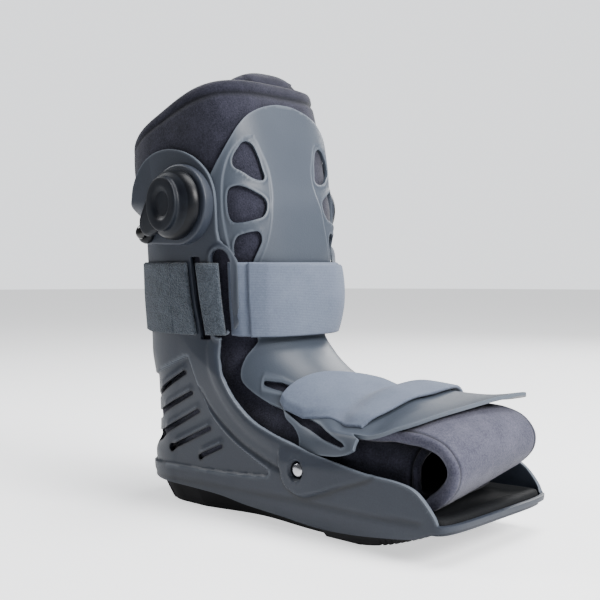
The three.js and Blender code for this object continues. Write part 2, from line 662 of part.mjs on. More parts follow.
addPiece('outsole', outsole(), rubber);
addPiece('rear_shell', rearShell(), shellPlastic);
addPiece('footbed', footbed(), blackPad);
addPiece('liner', liner(), padding);
addPiece('liner_flap', linerFlap(), padding);
addPiece('toe_flap', toeFlap(), padding);
addPiece('front_plate', frontPlate(), platePlastic);
addPiece('rear_strap', rearStrap(), pile);
addPair('strap_wrap', mirrored(strapWrap()), pile);
addPiece('front_strap', frontStrap(), webbing);
addPiece('strap_tab', strapTab(), webbing);
addPiece('forefoot_strap', forefootStrap(), webbing);
addPair('dial_knob', knob(), dialPlastic);
addPair('valve_base', valveBase(), dialPlastic);
addPair('valve_button', valveButton(), glossPlastic);
addPair('rivet', rivet(), steel);

export default boot;
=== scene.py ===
import math

import bmesh
import bpy
import numpy as np
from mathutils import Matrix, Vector


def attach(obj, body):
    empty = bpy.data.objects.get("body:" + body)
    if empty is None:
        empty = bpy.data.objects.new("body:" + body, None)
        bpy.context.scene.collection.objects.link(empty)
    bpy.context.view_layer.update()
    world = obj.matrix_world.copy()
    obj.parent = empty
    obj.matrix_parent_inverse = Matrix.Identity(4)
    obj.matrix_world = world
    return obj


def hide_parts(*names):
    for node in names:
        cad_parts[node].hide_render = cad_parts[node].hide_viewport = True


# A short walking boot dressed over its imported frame. Lengths in the tables are
# millimetres in the frame's own axes: x to the toes, z up, the origin on the floor.
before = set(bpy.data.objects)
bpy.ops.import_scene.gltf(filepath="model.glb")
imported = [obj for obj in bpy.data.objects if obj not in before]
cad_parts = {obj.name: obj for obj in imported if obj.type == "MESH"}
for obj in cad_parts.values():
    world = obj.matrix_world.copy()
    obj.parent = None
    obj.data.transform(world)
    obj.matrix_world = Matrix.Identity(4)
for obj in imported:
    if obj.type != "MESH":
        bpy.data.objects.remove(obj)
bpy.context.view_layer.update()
mm = 0.001
print("frame loaded")


def placed(name, data):
    thing = bpy.data.objects.new(name, data)
    bpy.context.scene.collection.objects.link(thing)
    return thing


# The camera, solved from the photo
view = {"place": (0.4513, -0.5398, 0.1698), "turn": 0.71992, "dip": 0.036358, "lens": 62.94}
camera = placed("camera", bpy.data.cameras.new("camera"))
camera.location = view["place"]
camera.rotation_euler = (math.pi / 2 - view["dip"], 0, view["turn"])
camera.data.lens = view["lens"]
camera.data.clip_start = 0.01
bpy.context.scene.camera = camera


# Shader maths: a wire is a node's output, and plain operators add Math nodes to it
class Wire:
    def __init__(self, tree, socket):
        self.tree, self.socket = tree, socket

    def maths(self, operation, *others):
        node = self.tree.nodes.new("ShaderNodeMath")
        node.operation = operation
        for slot, value in zip(node.inputs, (self, *others)):
            plug(self.tree, value, slot)
        return Wire(self.tree, node.outputs[0])

    def __add__(self, other):
        return self.maths("ADD", other)

    def __mul__(self, other):
        return self.maths("MULTIPLY", other)

    def __sub__(self, other):
        return self.maths("SUBTRACT", other)

    def __rsub__(self, other):
        return self.maths("MULTIPLY", -1) + other

    __radd__ = __add__
    __rmul__ = __mul__


def plug(tree, value, slot):
    if isinstance(value, Wire):
        tree.links.new(value.socket, slot)
    else:
        slot.default_value = value


def opaque(colour):
    return colour if isinstance(colour, Wire) else (*colour, 1)


class Finish:
    def __init__(self, name, **constants):
        self.material = bpy.data.materials.new(name)
        self.material.use_nodes = True
        self.tree = self.material.node_tree
        self.tree.nodes.clear()
        self.shader = self.tree.nodes.new("ShaderNodeBsdfPrincipled")
        output = self.tree.nodes.new("ShaderNodeOutputMaterial")
        self.tree.links.new(self.shader.outputs[0], output.inputs[0])
        for key, value in constants.items():
            self.shader.inputs[key.replace("_", " ")].default_value = value

    def add(self, kind, settings=None, values=None, out=0):
        node = self.tree.nodes.new(kind)
        for key, value in (settings or {}).items():
            setattr(node, key, value)
        for key, value in (values or {}).items():
            plug(self.tree, value, node.inputs[key])
        return Wire(self.tree, node.outputs[out])

    def place(self):
        return self.add("ShaderNodeTexCoord", out=3)

    def noise(self, scale, detail=3, rough=0.55):
        return self.add("ShaderNodeTexNoise", None, {
            "Vector": self.place(), "Scale": scale, "Detail": detail, "Roughness": rough})

    def between(self, share, low, high, blend="MIX"):
        return self.add("ShaderNodeMix", {"data_type": "RGBA", "blend_type": blend},
                        {0: share, 6: opaque(low), 7: opaque(high)}, out=2)

    def attribute(self, name):
        return self.add("ShaderNodeAttribute", {"attribute_name": name}, out=2)

    def feed(self, **inputs):
        for key, value in inputs.items():
            plug(self.tree, value, self.shader.inputs[key.replace("_", " ")])
        return self.material

    def bump(self, height, depth, strength):
        return self.add("ShaderNodeBump", None, {"Height": height, "Distance": depth, "Strength": strength})

    # Painted highlights and painted shade, drawn on a piece as pale and dark lines from its own point values
    def paintedLight(self, colour, pale=0.7, dark=0.85):
        line = self.attribute("line")
        # Pale line values paint a highlight; dark line values paint shade
        lit = self.between(self.spread(line, 0, 1) * pale, colour, (0.13, 0.15, 0.18))
        return self.between(self.spread(line, 0, -1) * dark, lit, (0.003, 0.0035, 0.005))

    def spread(self, wire, low, high):
        return self.add("ShaderNodeMapRange", {"clamp": True},
                        {"Value": wire, "From Min": low, "From Max": high})


def moulding(name, dark, light, roughness):
    look = Finish(name, IOR=1.48, Specular_IOR_Level=0.26)
    cloud = look.spread(look.noise(14, 4), 0.32, 0.68)
    fine = look.noise(2600, 2)
    speck = look.spread(look.noise(900, 3), 0.35, 0.65)
    scuff = look.spread(look.noise(60, 6, 0.7), 0.55, 0.8)
    # The line values add painted highlights and painted shade to the moulding's colour
    return look.feed(
        Base_Color=look.paintedLight(look.between(cloud * 0.7 + speck * 0.3, dark, light)),
        Roughness=cloud * 0.06 + scuff * 0.10 + fine * 0.06 + (roughness - 0.06),
        Normal=look.bump(fine * 0.7 + speck * 0.5, 0.00006, 0.7))


def fleece(name, dark, light):
    look = Finish(name, Specular_IOR_Level=0.08, Sheen_Weight=0.10, Sheen_Roughness=0.5)
    heather = look.noise(900, 4, 0.7)
    blotch = look.noise(70, 3)
    knit = look.add("ShaderNodeTexVoronoi", {"feature": "F1"}, {"Vector": look.place(), "Scale": 1500})
    share = look.spread(heather * 0.65 + blotch * 0.35, 0.38, 0.64)
    # The line values add painted shade along the fleece's seams
    return look.feed(
        Base_Color=look.paintedLight(look.between(share, dark, light), 0.25),
        Roughness=heather * 0.1 + 0.85,
        Normal=look.bump(heather * 0.8 + knit * 0.4 + blotch * 0.3, 0.0005, 0.6))


# Two waves cross as the weave; the stitched band comes from the piece's point values
def webbing(name, dark, light):
    look = Finish(name, Specular_IOR_Level=0.1, Sheen_Weight=0.08, Sheen_Roughness=0.45)
    cloth = look.add("ShaderNodeUVMap", {"uv_map": "cloth"})
    across, down = (
        look.add("ShaderNodeTexWave", {"wave_type": "BANDS", "bands_direction": way},
                 {"Vector": cloth, "Scale": ribs, "Distortion": stray, "Detail": 1.0}, out=1)
        for way, ribs, stray in (("X", 425.016, 0.6), ("Y", 297.629, 0.4)))
    fuzz = look.noise(700, 4, 0.7)
    patch = look.noise(45, 3)
    share = look.spread(fuzz * 0.45 + patch * 0.35 + across * down * 0.2, 0.25, 0.62)
    sewn = look.attribute("stitches") * 0.35 * (1 - across)
    return look.feed(
        Base_Color=look.between(sewn, look.between(share, dark, light), (0.25, 0.27, 0.32), "MULTIPLY"),
        Roughness=fuzz * 0.12 + 0.78,
        Normal=look.bump(across * down * 0.5 + fuzz * 0.8, 0.00025, 0.55))


def loopPile(name, dark, light):
    look = Finish(name, Specular_IOR_Level=0.06, Sheen_Weight=0.10, Sheen_Roughness=0.5)
    loops = look.add("ShaderNodeTexVoronoi", {"feature": "SMOOTH_F1"},
                     {"Vector": look.place(), "Scale": 900, "Smoothness": 0.5})
    tuft = look.noise(700, 5, 0.75)
    patch = look.noise(160, 4)
    share = look.spread(tuft * 0.6 + patch * 0.45 - loops * 0.25, 0.15, 0.85)
    return look.feed(
        Base_Color=look.between(share, dark, light),
        Roughness=tuft * 0.1 + 0.85,
        Normal=look.bump(tuft - loops, 0.0012, 0.8))


def rubbery(name, dark, light, roughness, scale=500):
    look = Finish(name, Specular_IOR_Level=0.12)
    grain = look.noise(scale, 4, 0.6)
    cloud = look.noise(25, 3)
    return look.feed(
        Base_Color=look.between(look.spread(grain * 0.5 + cloud * 0.5, 0.35, 0.65), dark, light),
        Roughness=cloud * 0.12 + grain * 0.08 + (roughness - 0.1),
        Normal=look.bump(grain, 0.00015, 0.6))


def satin(name, dark, light, roughness, metal=0.0, shine=0.16):
    look = Finish(name, Metallic=metal, IOR=1.5, Specular_IOR_Level=shine)
    cloud = look.noise(90, 3)
    fine = look.noise(2200, 2)
    return look.feed(
        Base_Color=look.between(look.spread(cloud, 0.35, 0.65), dark, light),
        Roughness=cloud * 0.08 + fine * 0.05 + (roughness - 0.06),
        Normal=look.bump(fine, 0.00002, 0.5))


finishes = {
    "shell": moulding("slateMoulding", (0.016, 0.020, 0.029), (0.021, 0.026, 0.037), 0.46),
    "plate": moulding("paleMoulding", (0.036, 0.044, 0.058), (0.043, 0.052, 0.068), 0.44),
    "liner": fleece("heatherFleece", (0.007, 0.0075, 0.013), (0.026, 0.026, 0.040)),
    "toe": fleece("paleFleece", (0.034, 0.035, 0.054), (0.078, 0.078, 0.106)),
    "strap": webbing("brushedWebbing", (0.066, 0.081, 0.115), (0.112, 0.132, 0.176)),
    "pile": loopPile("loopPile", (0.018, 0.023, 0.030), (0.088, 0.104, 0.126)),
    "dial": satin("dialMoulding", (0.0018, 0.0022, 0.0035), (0.003, 0.004, 0.006), 0.36),
    "paddle": satin("paddleMoulding", (0.004, 0.005, 0.008), (0.007, 0.009, 0.013), 0.46),
    "nub": satin("glossNub", (0.001, 0.001, 0.0015), (0.002, 0.002, 0.0025), 0.12, shine=0.5),
    "steel": satin("polishedSteel", (0.30, 0.30, 0.32), (0.42, 0.42, 0.44), 0.24, 1.0, 0.5),
    "sole": rubbery("blackRubber", (0.0015, 0.0015, 0.002), (0.004, 0.004, 0.005), 0.75),
    "footbed": rubbery("blackFoam", (0.002, 0.0024, 0.003), (0.004, 0.0045, 0.0055), 0.7, 900),
}
print("finishes made")


# Values through a table's rows, on a smooth curve
def smoothThrough(knots, values, at):
    knots, values, at = (np.asarray(a, float) for a in (knots, values, at))
    slopes = np.gradient(values, knots, axis=0)
    i = np.clip(np.searchsorted(knots, at, side="right") - 1, 0, len(knots) - 2)
    gap = (knots[i + 1] - knots[i])[:, None]
    t = np.clip((at - knots[i])[:, None] / gap, 0, 1)
    return ((1 + 2 * t) * (1 - t) ** 2 * values[i] + t * (1 - t) ** 2 * gap * slopes[i]
            + t * t * (3 - 2 * t) * values[i + 1] + t * t * (t - 1) * gap * slopes[i + 1])


def evenly(points, count):
    steps = np.linalg.norm(np.diff(points, axis=0), axis=1)
    along = np.concatenate([[0], np.cumsum(steps)])
    wanted = np.linspace(0, along[-1], count)
    return np.stack([np.interp(wanted, along, points[:, k]) for k in range(points.shape[1])], axis=1)


def smoothLine(points, count=160, closed=False):
    points = np.asarray(points, float)
    if closed:
        points = np.concatenate([points[-3:], points, points[:4]])
    dense = smoothThrough(np.arange(len(points)), points, np.linspace(0, len(points) - 1, 40 * len(points)))
    if closed:
        size = len(points) - 7
        dense = smoothThrough(np.arange(len(points)), points, np.linspace(3, 3 + size, 40 * size))
    return evenly(dense, count)


# A surface as a table of points, read at shares u round it and v along it
class Surface:
    def __init__(self, rows):
        self.rows = np.asarray(rows, float)
        around = np.gradient(self.rows, axis=1)
        along = np.gradient(self.rows, axis=0)
        normals = np.cross(around, along)
        normals /= np.maximum(np.linalg.norm(normals, axis=2, keepdims=True), 1e-9)
        middle = self.rows.mean(axis=1, keepdims=True)
        if ((self.rows - middle) * normals).sum() < 0:
            normals = -normals
        if np.abs(self.rows[:, 0] - self.rows[:, -1]).max() < 0.01:
            normals[:, 0] = normals[:, -1] = (normals[:, 0] + normals[:, -1]) / 2
        self.normals = normals

    def read(self, table, shares):
        n, m = table.shape[:2]
        u = np.clip(shares[:, 0], 0, 1) * (m - 1)
        v = np.clip(shares[:, 1], 0, 1) * (n - 1)
        i, j = np.minimum(v.astype(int), n - 2), np.minimum(u.astype(int), m - 2)
        fv, fu = (v - i)[:, None], (u - j)[:, None]
        return ((table[i, j] * (1 - fu) + table[i, j + 1] * fu) * (1 - fv)
                + (table[i + 1, j] * (1 - fu) + table[i + 1, j + 1] * fu) * fv)

    def at(self, shares):
        return self.read(self.rows, shares)

    def under(self, bm):
        return self.at(coordsOf(bm)[:, :2])

    def normalAt(self, shares):
        normals = self.read(self.normals, shares)
        return normals / np.maximum(np.linalg.norm(normals, axis=1, keepdims=True), 1e-9)


def ramp(value, low, high):
    t = np.clip((value - low) / (high - low), 0, 1)
    return t * t * (3 - 2 * t)


def bent(value, power):
    return np.sign(value) * np.abs(value) ** (2 / power)


# The liner's and the plate's sections: front x z, back x z, half width, two powers, tilt
def fanSurface(stations, grow, rows=320, columns=520, bow=0):
    table = np.array([list(s) + [0] * (8 - len(s)) for s in stations], float)
    found = smoothThrough(np.arange(len(table)), table, np.linspace(0, len(table) - 1, rows))
    angle = np.linspace(-np.pi, np.pi, 2401)
    out = []
    bows = bow * (1 - ramp(np.linspace(0, len(table) - 1, rows), 0, 2.2))
    for arch, (frontX, frontZ, backX, backZ, half, top, base, tilt) in zip(bows, found):
        front, back = np.array([frontX, frontZ]), np.array([backX, backZ])
        reach = np.linalg.norm(front - back)
        across = (front - back) / reach
        power = np.where(np.cos(angle) > 0, top, base)
        centre = (front + back) / 2 + np.outer((reach / 2 + grow) * bent(np.cos(angle), power), across)
        y = (half + grow) * bent(np.sin(angle), power)
        z = centre[:, 1] + tilt * y + arch * np.sin(angle) ** 2
        out.append(evenly(np.stack([centre[:, 0], y, z], axis=1), columns))
    return Surface(out)


# The shell's rings: height, rear, front, rear half, fore half, rear round, front round, power
def ringSurface(levels, heights, grow, columns=720, fromRear=False):
    table = np.array(levels, float)
    found = smoothThrough(table[:, 0], table[:, 1:], heights)
    out = []
    for height, (rear, front, rearHalf, foreHalf, rearRound, frontRound, power) in zip(heights, found):
        rearSide, foreSide = rear + rearRound, front - frontRound
        turn = np.linspace(0, np.pi / 2, 300)
        x = np.concatenate([rearSide - (rearSide - rear + grow) * np.cos(turn),
                            foreSide + (front + grow - foreSide) * np.sin(turn) ** (2 / power)])
        y = np.concatenate([(rearHalf + grow) * np.sin(turn), (foreHalf + grow) * np.cos(turn) ** (2 / power)])
        y[-1] = 0
        half = np.stack([x, y], axis=1)
        whole = np.concatenate([half[::-1] * [1, -1], half[1:]])
        if fromRear:
            whole = np.concatenate([half, half[-2::-1] * [1, -1]])
        flat = evenly(whole, columns)
        out.append(np.column_stack([flat, np.full(columns, height)]))
    return Surface(out)


linerStations = [
    (-45, 294, -160, 240, 58.5, 3.6, 2.2), (-37, 262, -159, 226, 58.5, 3.9, 2.3),
    (-29, 226, -156, 213, 57, 3.8, 2.3), (-23, 203, -147.5, 199, 56, 3.6, 2.3),
    (-21, 170, -147.5, 168, 53.5, 3.0, 2.3), (-25, 145, -147, 143, 52, 2.7, 2.3),
    (-24, 123, -147, 104, 50.5, 2.6, 2.4), (-11, 109, -147, 66, 49.5, 2.5, 2.6),
    (3, 99.5, -140, 36, 48.5, 2.4, 3), (15, 93.5, -116, 26.2, 48, 2.3, 3.6),
    (28, 86.5, -66, 26.2, 48, 2.3, 4), (44, 81.5, -8, 26.2, 48.5, 2.3, 4),
    (62, 76, 46, 26.2, 48, 2.3, 4), (90, 70, 88, 26.2, 46.5, 2.3, 4),
    (107, 66.7, 107, 26.2, 45, 2.3, 4)]
plateStations = linerStations[:12] + [
    (62, 85.6, 46, 26.2, 55.4, 2.5, 4, 0.05), (90, 82.6, 88, 26.2, 60.5, 2.8, 4, 0.08),
    (112, 82, 112, 26.2, 62.7, 2.8, 4, 0.09), (130, 84.8, 130, 26.2, 62.7, 2.8, 4, 0.09)]
shellLevels = [
    (0, -143, 130, 41, 56, 48, 18, 4), (16, -150, 136.5, 45.5, 59.5, 52, 16, 5),
    (28, -151, 137.4, 46.5, 60, 52, 15, 5), (58, -150, 128, 48, 60, 54, 30, 3),
    (90, -149, 40, 53, 58, 60, 70, 2.5), (119, -149, -5, 55.5, 55.5, 64, 76, 2.5),
    (144, -150, -5, 58.2, 58.2, 66, 76, 2.5), (170, -150, -5, 59.8, 59.8, 66, 76, 2.5),
    (208, -151, -5, 62.7, 62.7, 66, 76, 2.5), (253, -161, -9, 62.7, 62.7, 70, 76, 2.5)]


# How deep points lie inside an outline, in millimetres; negative outside
def depthIn(points, outline):
    outline = np.asarray(outline, float)
    a, b = outline, np.roll(outline, -1, axis=0)
    edge = b - a
    size = np.maximum((edge ** 2).sum(axis=1), 1e-12)
    found = []
    for part in np.array_split(points, max(1, len(points) // 4000)):
        away = part[:, None] - a[None]
        share = np.clip((away * edge).sum(axis=2) / size, 0, 1)
        gap = np.linalg.norm(away - share[..., None] * edge, axis=2).min(axis=1)
        x, y = part[:, :1], part[:, 1:]
        spans = (a[:, 1] > y) != (b[:, 1] > y)
        rise = np.where(np.abs(edge[:, 1]) < 1e-12, 1e-12, edge[:, 1])
        crosses = spans & (x < a[:, 0] + (y - a[:, 1]) * edge[:, 0] / rise)
        found.append(np.where(crosses.sum(axis=1) % 2 == 1, gap, -gap))
    return np.concatenate(found)


# Distance from an open line
def offLine(points, line):
    line = np.asarray(line, float)
    best = np.full(len(points), 1e9)
    for a, b in zip(line[:-1], line[1:]):
        edge = b - a
        share = np.clip(((points - a) @ edge) / max(edge @ edge, 1e-12), 0, 1)
        best = np.minimum(best, np.linalg.norm(points - a - share[:, None] * edge, axis=1))
    return best


# Distance inside a stroke whose radius changes along it
def inStroke(points, stops):
    best = np.full(len(points), -1e9)
    for (x1, z1, r1), (x2, z2, r2) in zip(stops[:-1], stops[1:]):
        a, edge = np.array([x1, z1]), np.array([x2 - x1, z2 - z1])
        share = np.clip(((points - a) @ edge) / max(edge @ edge, 1e-12), 0, 1)
        gap = np.linalg.norm(points - a - share[:, None] * edge, axis=1)
        best = np.maximum(best, r1 + (r2 - r1) * share - gap)
    return best


def ridge(distance, width):
    return np.exp(-(distance / width) ** 2)


# The places of a mesh's points, read and put back
def coordsOf(bm):
    return np.array([v.co[:] for v in bm.verts]).reshape(-1, 3)


def setCoords(bm, coords):
    for v, co in zip(bm.verts, coords):
        v.co = co


# A sheet cut from a surface: a grid, made finer near its outline, whose points by
# the outline slide onto it, and whose faces outside are deleted
def trimmed(surface, columns, rows, keep=None, finer=None, span=(0, 1, 0, 1)):
    bm = bmesh.new()
    bmesh.ops.create_grid(bm, x_segments=columns, y_segments=rows, size=0.5)
    shares = coordsOf(bm)[:, :2]
    shares = (shares - shares.min(axis=0)) / (shares.max(axis=0) - shares.min(axis=0))
    low, high = np.array([span[0], span[2]]), np.array([span[1], span[3]])
    setCoords(bm, np.column_stack([low + shares * (high - low), np.zeros(len(shares))]))
    if keep is None:
        return bm

    def judged():
        bm.verts.index_update()
        shares = coordsOf(bm)[:, :2]
        spots = surface.at(shares)
        return shares, spots, keep(spots)

    bmesh.ops.triangulate(bm, faces=bm.faces[:])
    _, spots, value = judged()
    step = np.linalg.norm(spots[1] - spots[0])
    outside = [v for v, depth in zip(bm.verts, value) if depth < -6 * step]
    bmesh.ops.delete(bm, geom=outside, context="VERTS")
    _, spots, value = judged()
    close = np.abs(value) < 1.6 * step
    if finer is not None:
        close |= finer(spots) & (value > -step)
    lines = [e for e in bm.edges if close[e.verts[0].index] and close[e.verts[1].index]]
    bmesh.ops.subdivide_edges(bm, edges=lines, cuts=1)
    bmesh.ops.triangulate(bm, faces=bm.faces[:])
    shares, _, value = judged()
    a, b = np.array([[v.index for v in e.verts] for e in bm.edges]).T
    crossing = value[a] * value[b] < 0
    a, b = a[crossing], b[crossing]
    t = value[a] / (value[a] - value[b])
    moved = np.where(t < 0.5, a, b)
    target = shares[a] + t[:, None] * (shares[b] - shares[a])
    order = np.argsort(-np.minimum(t, 1 - t))
    shares[moved[order]] = target[order]
    value[moved] = 0
    setCoords(bm, np.column_stack([shares, np.zeros(len(shares))]))
    faces = bm.faces[:]
    corners = np.array([[v.index for v in f.verts] for f in faces])
    gone = value[corners].min(axis=1) < 0
    onLine = np.abs(value[corners]).max(axis=1) == 0
    if onLine.any():
        gone[onLine] = keep(surface.at(shares[corners].mean(axis=1)[onLine])) <= 0
    bmesh.ops.delete(bm, geom=[f for f, g in zip(faces, gone) if g], context="FACES")
    bmesh.ops.delete(bm, geom=[v for v in bm.verts if not v.link_faces], context="VERTS")
    return bm


# Extrudes all faces of a mesh and gives the new points
def doubled(bm):
    made = bmesh.ops.extrude_face_region(bm, geom=bm.faces[:], use_keep_orig=True)
    return [g for g in made["geom"] if isinstance(g, bmesh.types.BMVert)]


# Point values that a finish reads by name
def marked(bm, name, values):
    layer = bm.verts.layers.float.new(name)
    for v, value in zip(bm.verts, values):
        v[layer] = value


# Puts a flat sheet onto its surface, lifted by a height for each point, and
# keeps its flat place as the map that cloth patterns follow
def laid(bm, surface, lift=None, scale=(0.4, 0.4), lines=None, sag=None, flare=None):
    shares = coordsOf(bm)[:, :2]
    spots, normals = surface.at(shares), surface.normalAt(shares)
    # The line values are painted highlights and painted shade
    if lines is not None:
        marked(bm, "line", lines(spots))
    drop = sag(spots) if sag is not None else 0
    if flare is not None:
        spots = spots.copy()
        spots[:, 1] = flare(spots)
    cloth = bm.loops.layers.uv.verify()
    for face in bm.faces:
        for loop in face.loops:
            loop[cloth].uv = (loop.vert.co.x * scale[0], loop.vert.co.y * scale[1])
    if lift is not None:
        spots = spots + normals * lift(spots)[:, None]
    spots[:, 2] -= drop
    setCoords(bm, spots * mm)
    bm.normal_update()
    bm.verts.ensure_lookup_table()
    facing = np.array([v.normal[:] for v in bm.verts])
    if (facing * normals).sum() < 0:
        bmesh.ops.reverse_faces(bm, faces=bm.faces[:])
    return normals


def finished(name, bm, finish, body="boot", smooth=True, stands=()):
    mesh = bpy.data.meshes.new(name)
    bm.to_mesh(mesh)
    bm.free()
    for layer in mesh.uv_layers:
        layer.name = "cloth"
    piece = placed(name, mesh)
    mesh.materials.append(finishes[finish])
    if smooth:
        mesh.shade_smooth()
    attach(piece, body)
    if stands:
        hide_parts(*stands)
    return piece


# Rounds a piece's sharp edges
def rounded(piece, width, steps=4, sharp=35):
    edge = piece.modifiers.new("edge", "BEVEL")
    edge.width, edge.segments, edge.limit_method = width, steps, "ANGLE"
    edge.angle_limit, edge.profile = math.radians(sharp), 0.5


# Gives a sheet its wall, inwards
def walled(piece, thickness, edge):
    wall = piece.modifiers.new("wall", "SOLIDIFY")
    wall.thickness, wall.offset, wall.use_even_offset, wall.use_rim = thickness, -1, False, True
    rounded(piece, edge, 2, 50)


def smoothed(piece):
    smoothing = piece.modifiers.new("smoothing", "SUBSURF")
    smoothing.levels = smoothing.render_levels = 1


# Doubles a laid sheet into a pad: both faces draw together at its outline
def plump(bm, normals, depth, thickness, rounding):
    shares = np.clip(depth / rounding, 0, 1)
    swell = np.sqrt(np.maximum(1 - (1 - shares) ** 2, 0))
    coords = coordsOf(bm)
    outer = set(doubled(bm))
    places = {tuple(np.round(co, 9)): i for i, co in enumerate(coords)}
    for v in bm.verts:
        i = places[tuple(np.round(np.array(v.co[:]), 9))]
        v.co = coords[i] + normals[i] * thickness * swell[i] * mm * (0.5 if v in outer else -0.5)
    bmesh.ops.remove_doubles(bm, verts=bm.verts[:], dist=0.00002)
    bmesh.ops.recalc_face_normals(bm, faces=bm.faces[:])


# A turned or oval form: rings of half width, half height and reach, one after another
def ringStack(rings, centre, side, sides=96):
    bm = bmesh.new()
    turns = [2 * math.pi * i / sides for i in range(sides)]
    loops = [[bm.verts.new(((centre[0] + halfX * math.cos(turn)) * mm, side * reach * mm,
                            (centre[1] + halfZ * math.sin(turn)) * mm)) for turn in turns]
             for halfX, halfZ, reach in rings]
    for lower, upper in zip(loops[:-1], loops[1:]):
        for i in range(sides):
            bm.faces.new((lower[i - 1], lower[i], upper[i], upper[i - 1]))
    bm.faces.new(loops[0])
    bm.faces.new(loops[-1])
    bmesh.ops.recalc_face_normals(bm, faces=bm.faces[:])
    return bm


# A flat outline in the side view, drawn out between two reaches on one side
def sidePlate(outline, low, high, side):
    bm = bmesh.new()
    bm.faces.new([bm.verts.new((x * mm, side * low * mm, z * mm)) for x, z in outline])
    bmesh.ops.translate(bm, verts=doubled(bm), vec=(0, side * (high - low) * mm, 0))
    bmesh.ops.recalc_face_normals(bm, faces=bm.faces[:])
    return bm


def bothSides(make):
    for side, word in ((-1, "right"), (1, "left")):
        make(side, word)


# The rear shell
shell = {"wall": 0.0028, "edge": 0.0005, "panelDepth": 1.8, "heelDepth": 3.2, "bossLift": 3.6, "louvre": 1.2,
         "rimRoll": 1.0, "groove": 1.2, "slotRim": 1.0, "rivetWell": 2.4, "band": 0.5, "wingHalf": 62.7}
soleLine = [
    (-174, 14.8), (-103, 14.0), (-54, 13.0), (-27, 10.1), (7, 8.1), (36, 6.2), (64, 7.1), (91, 10.1),
    (112, 13.2), (124, 17.2), (132, 20.0), (151, 21.0)]
wallTop = smoothLine([
    (131, 23.6), (128, 29), (121, 36.9), (113, 42.1), (100, 44.5), (77, 46), (51, 50.9), (29, 54.1),
    (3, 60), (-17, 67.4), (-31, 79), (-40, 93), (-45.5, 107)], 90)
strapEar = smoothLine([
    (-46.5, 112), (-46, 118), (-41, 122), (-35, 127), (-32.5, 135), (-32, 162), (-33, 172), (-37, 179),
    (-44, 184)], 50)
wingTop = smoothLine([
    (-45, 190), (-45, 208), (-47, 220), (-53, 231), (-66, 241), (-85, 246), (-107, 243), (-120, 235),
    (-128, 223), (-130.5, 211), (-134, 204.5), (-142, 202.5), (-156, 202), (-174, 202)], 120)
shellOutline = np.concatenate([smoothLine(soleLine, 60), [(151, 23.1)], wallTop, strapEar, wingTop])
slotRear = [(-66.5, 172), (-60.5, 172), (-54.5, 119), (-61.5, 119)]
slotFront = [(-46.5, 124, 4.6), (-43.5, 172, 6.2)]
slotInner = [(-39.5, 126, 2.6), (-39, 170, 2.8)]
slits = [
    [(-81, 94, 1.35), (-111, 79, 1.7), (-134, 70.5, 2.8)],
    [(-76, 80, 1.35), (-108, 66, 1.8), (-120, 61, 3.0), (-138, 57, 3.8)],
    [(-71, 68, 1.35), (-108, 51, 1.9), (-119, 46, 3.6), (-138, 42, 4.6)],
    [(-61, 57, 1.35), (-98, 41, 1.6), (-103, 39, 3.0)],
    [(-50, 46, 1.3), (-69, 37.8, 1.5), (-72, 36, 2.0)]]
panel = smoothLine([
    (-78, 105.5), (-74, 103), (-69.5, 93), (-61, 74), (-53, 63), (-39, 52.5), (-20, 43.5), (-5, 37),
    (-3.5, 34.5), (-6, 32.4), (-30, 30.2), (-70, 28), (-110, 27), (-165, 27), (-166, 62), (-160, 84),
    (-125, 90), (-100, 97)], 260, closed=True)
grooveLine = smoothLine([(-65, 84), (-57, 72), (-46, 62), (-29, 51.5), (-8, 43.5), (9, 38.5)], 60)
bossOutline = smoothLine([
    (8, 52), (8.5, 40), (13, 30), (20, 25.8), (29, 24.5), (40, 27.5), (60, 35.5), (84, 45.5), (60, 52),
    (30, 58), (14, 62)], 120, closed=True)
bandLine = smoothLine([
    (-165, 15.5), (-120, 17), (-60, 18.5), (1, 20.5), (46, 21.5), (82, 21.5), (119, 23.5)], 60)
rivetPlace = (25, 41)


# Unit vector square to a slit, on its upper side
def overSlit(slit):
    (x1, z1, _), (x2, z2, _) = slit[:2]
    return np.array([z2 - z1, x1 - x2]) / math.hypot(x1 - x2, z1 - z2)


def inSlits(flat):
    return np.maximum.reduce([inStroke(flat, slit) for slit in slits])


def onSide(spots):
    return np.abs(spots[:, 1]) > 18


def shellKeep(spots):
    flat = spots[:, [0, 2]]
    keep = np.minimum(depthIn(flat, shellOutline), -inSlits(flat))
    slots = np.maximum(inStroke(flat, slotFront), inStroke(flat, slotInner))
    slots = np.maximum(slots, depthIn(flat, slotRear) + 1.2)
    return np.where(onSide(spots), np.minimum(keep, -slots), keep)


def shellFiner(spots):
    flat = spots[:, [0, 2]]
    near = depthIn(flat, panel) > -2.2
    near |= (np.abs(inStroke(flat, slotFront)) < 4) | (np.abs(depthIn(flat, slotRear)) < 3)
    near |= np.abs(depthIn(flat, bossOutline)) < 3.5
    near |= (np.linalg.norm(flat - rivetPlace, axis=1) < 9) | (offLine(flat, grooveLine) < 2.2)
    return near | (inSlits(flat) > -2.5)


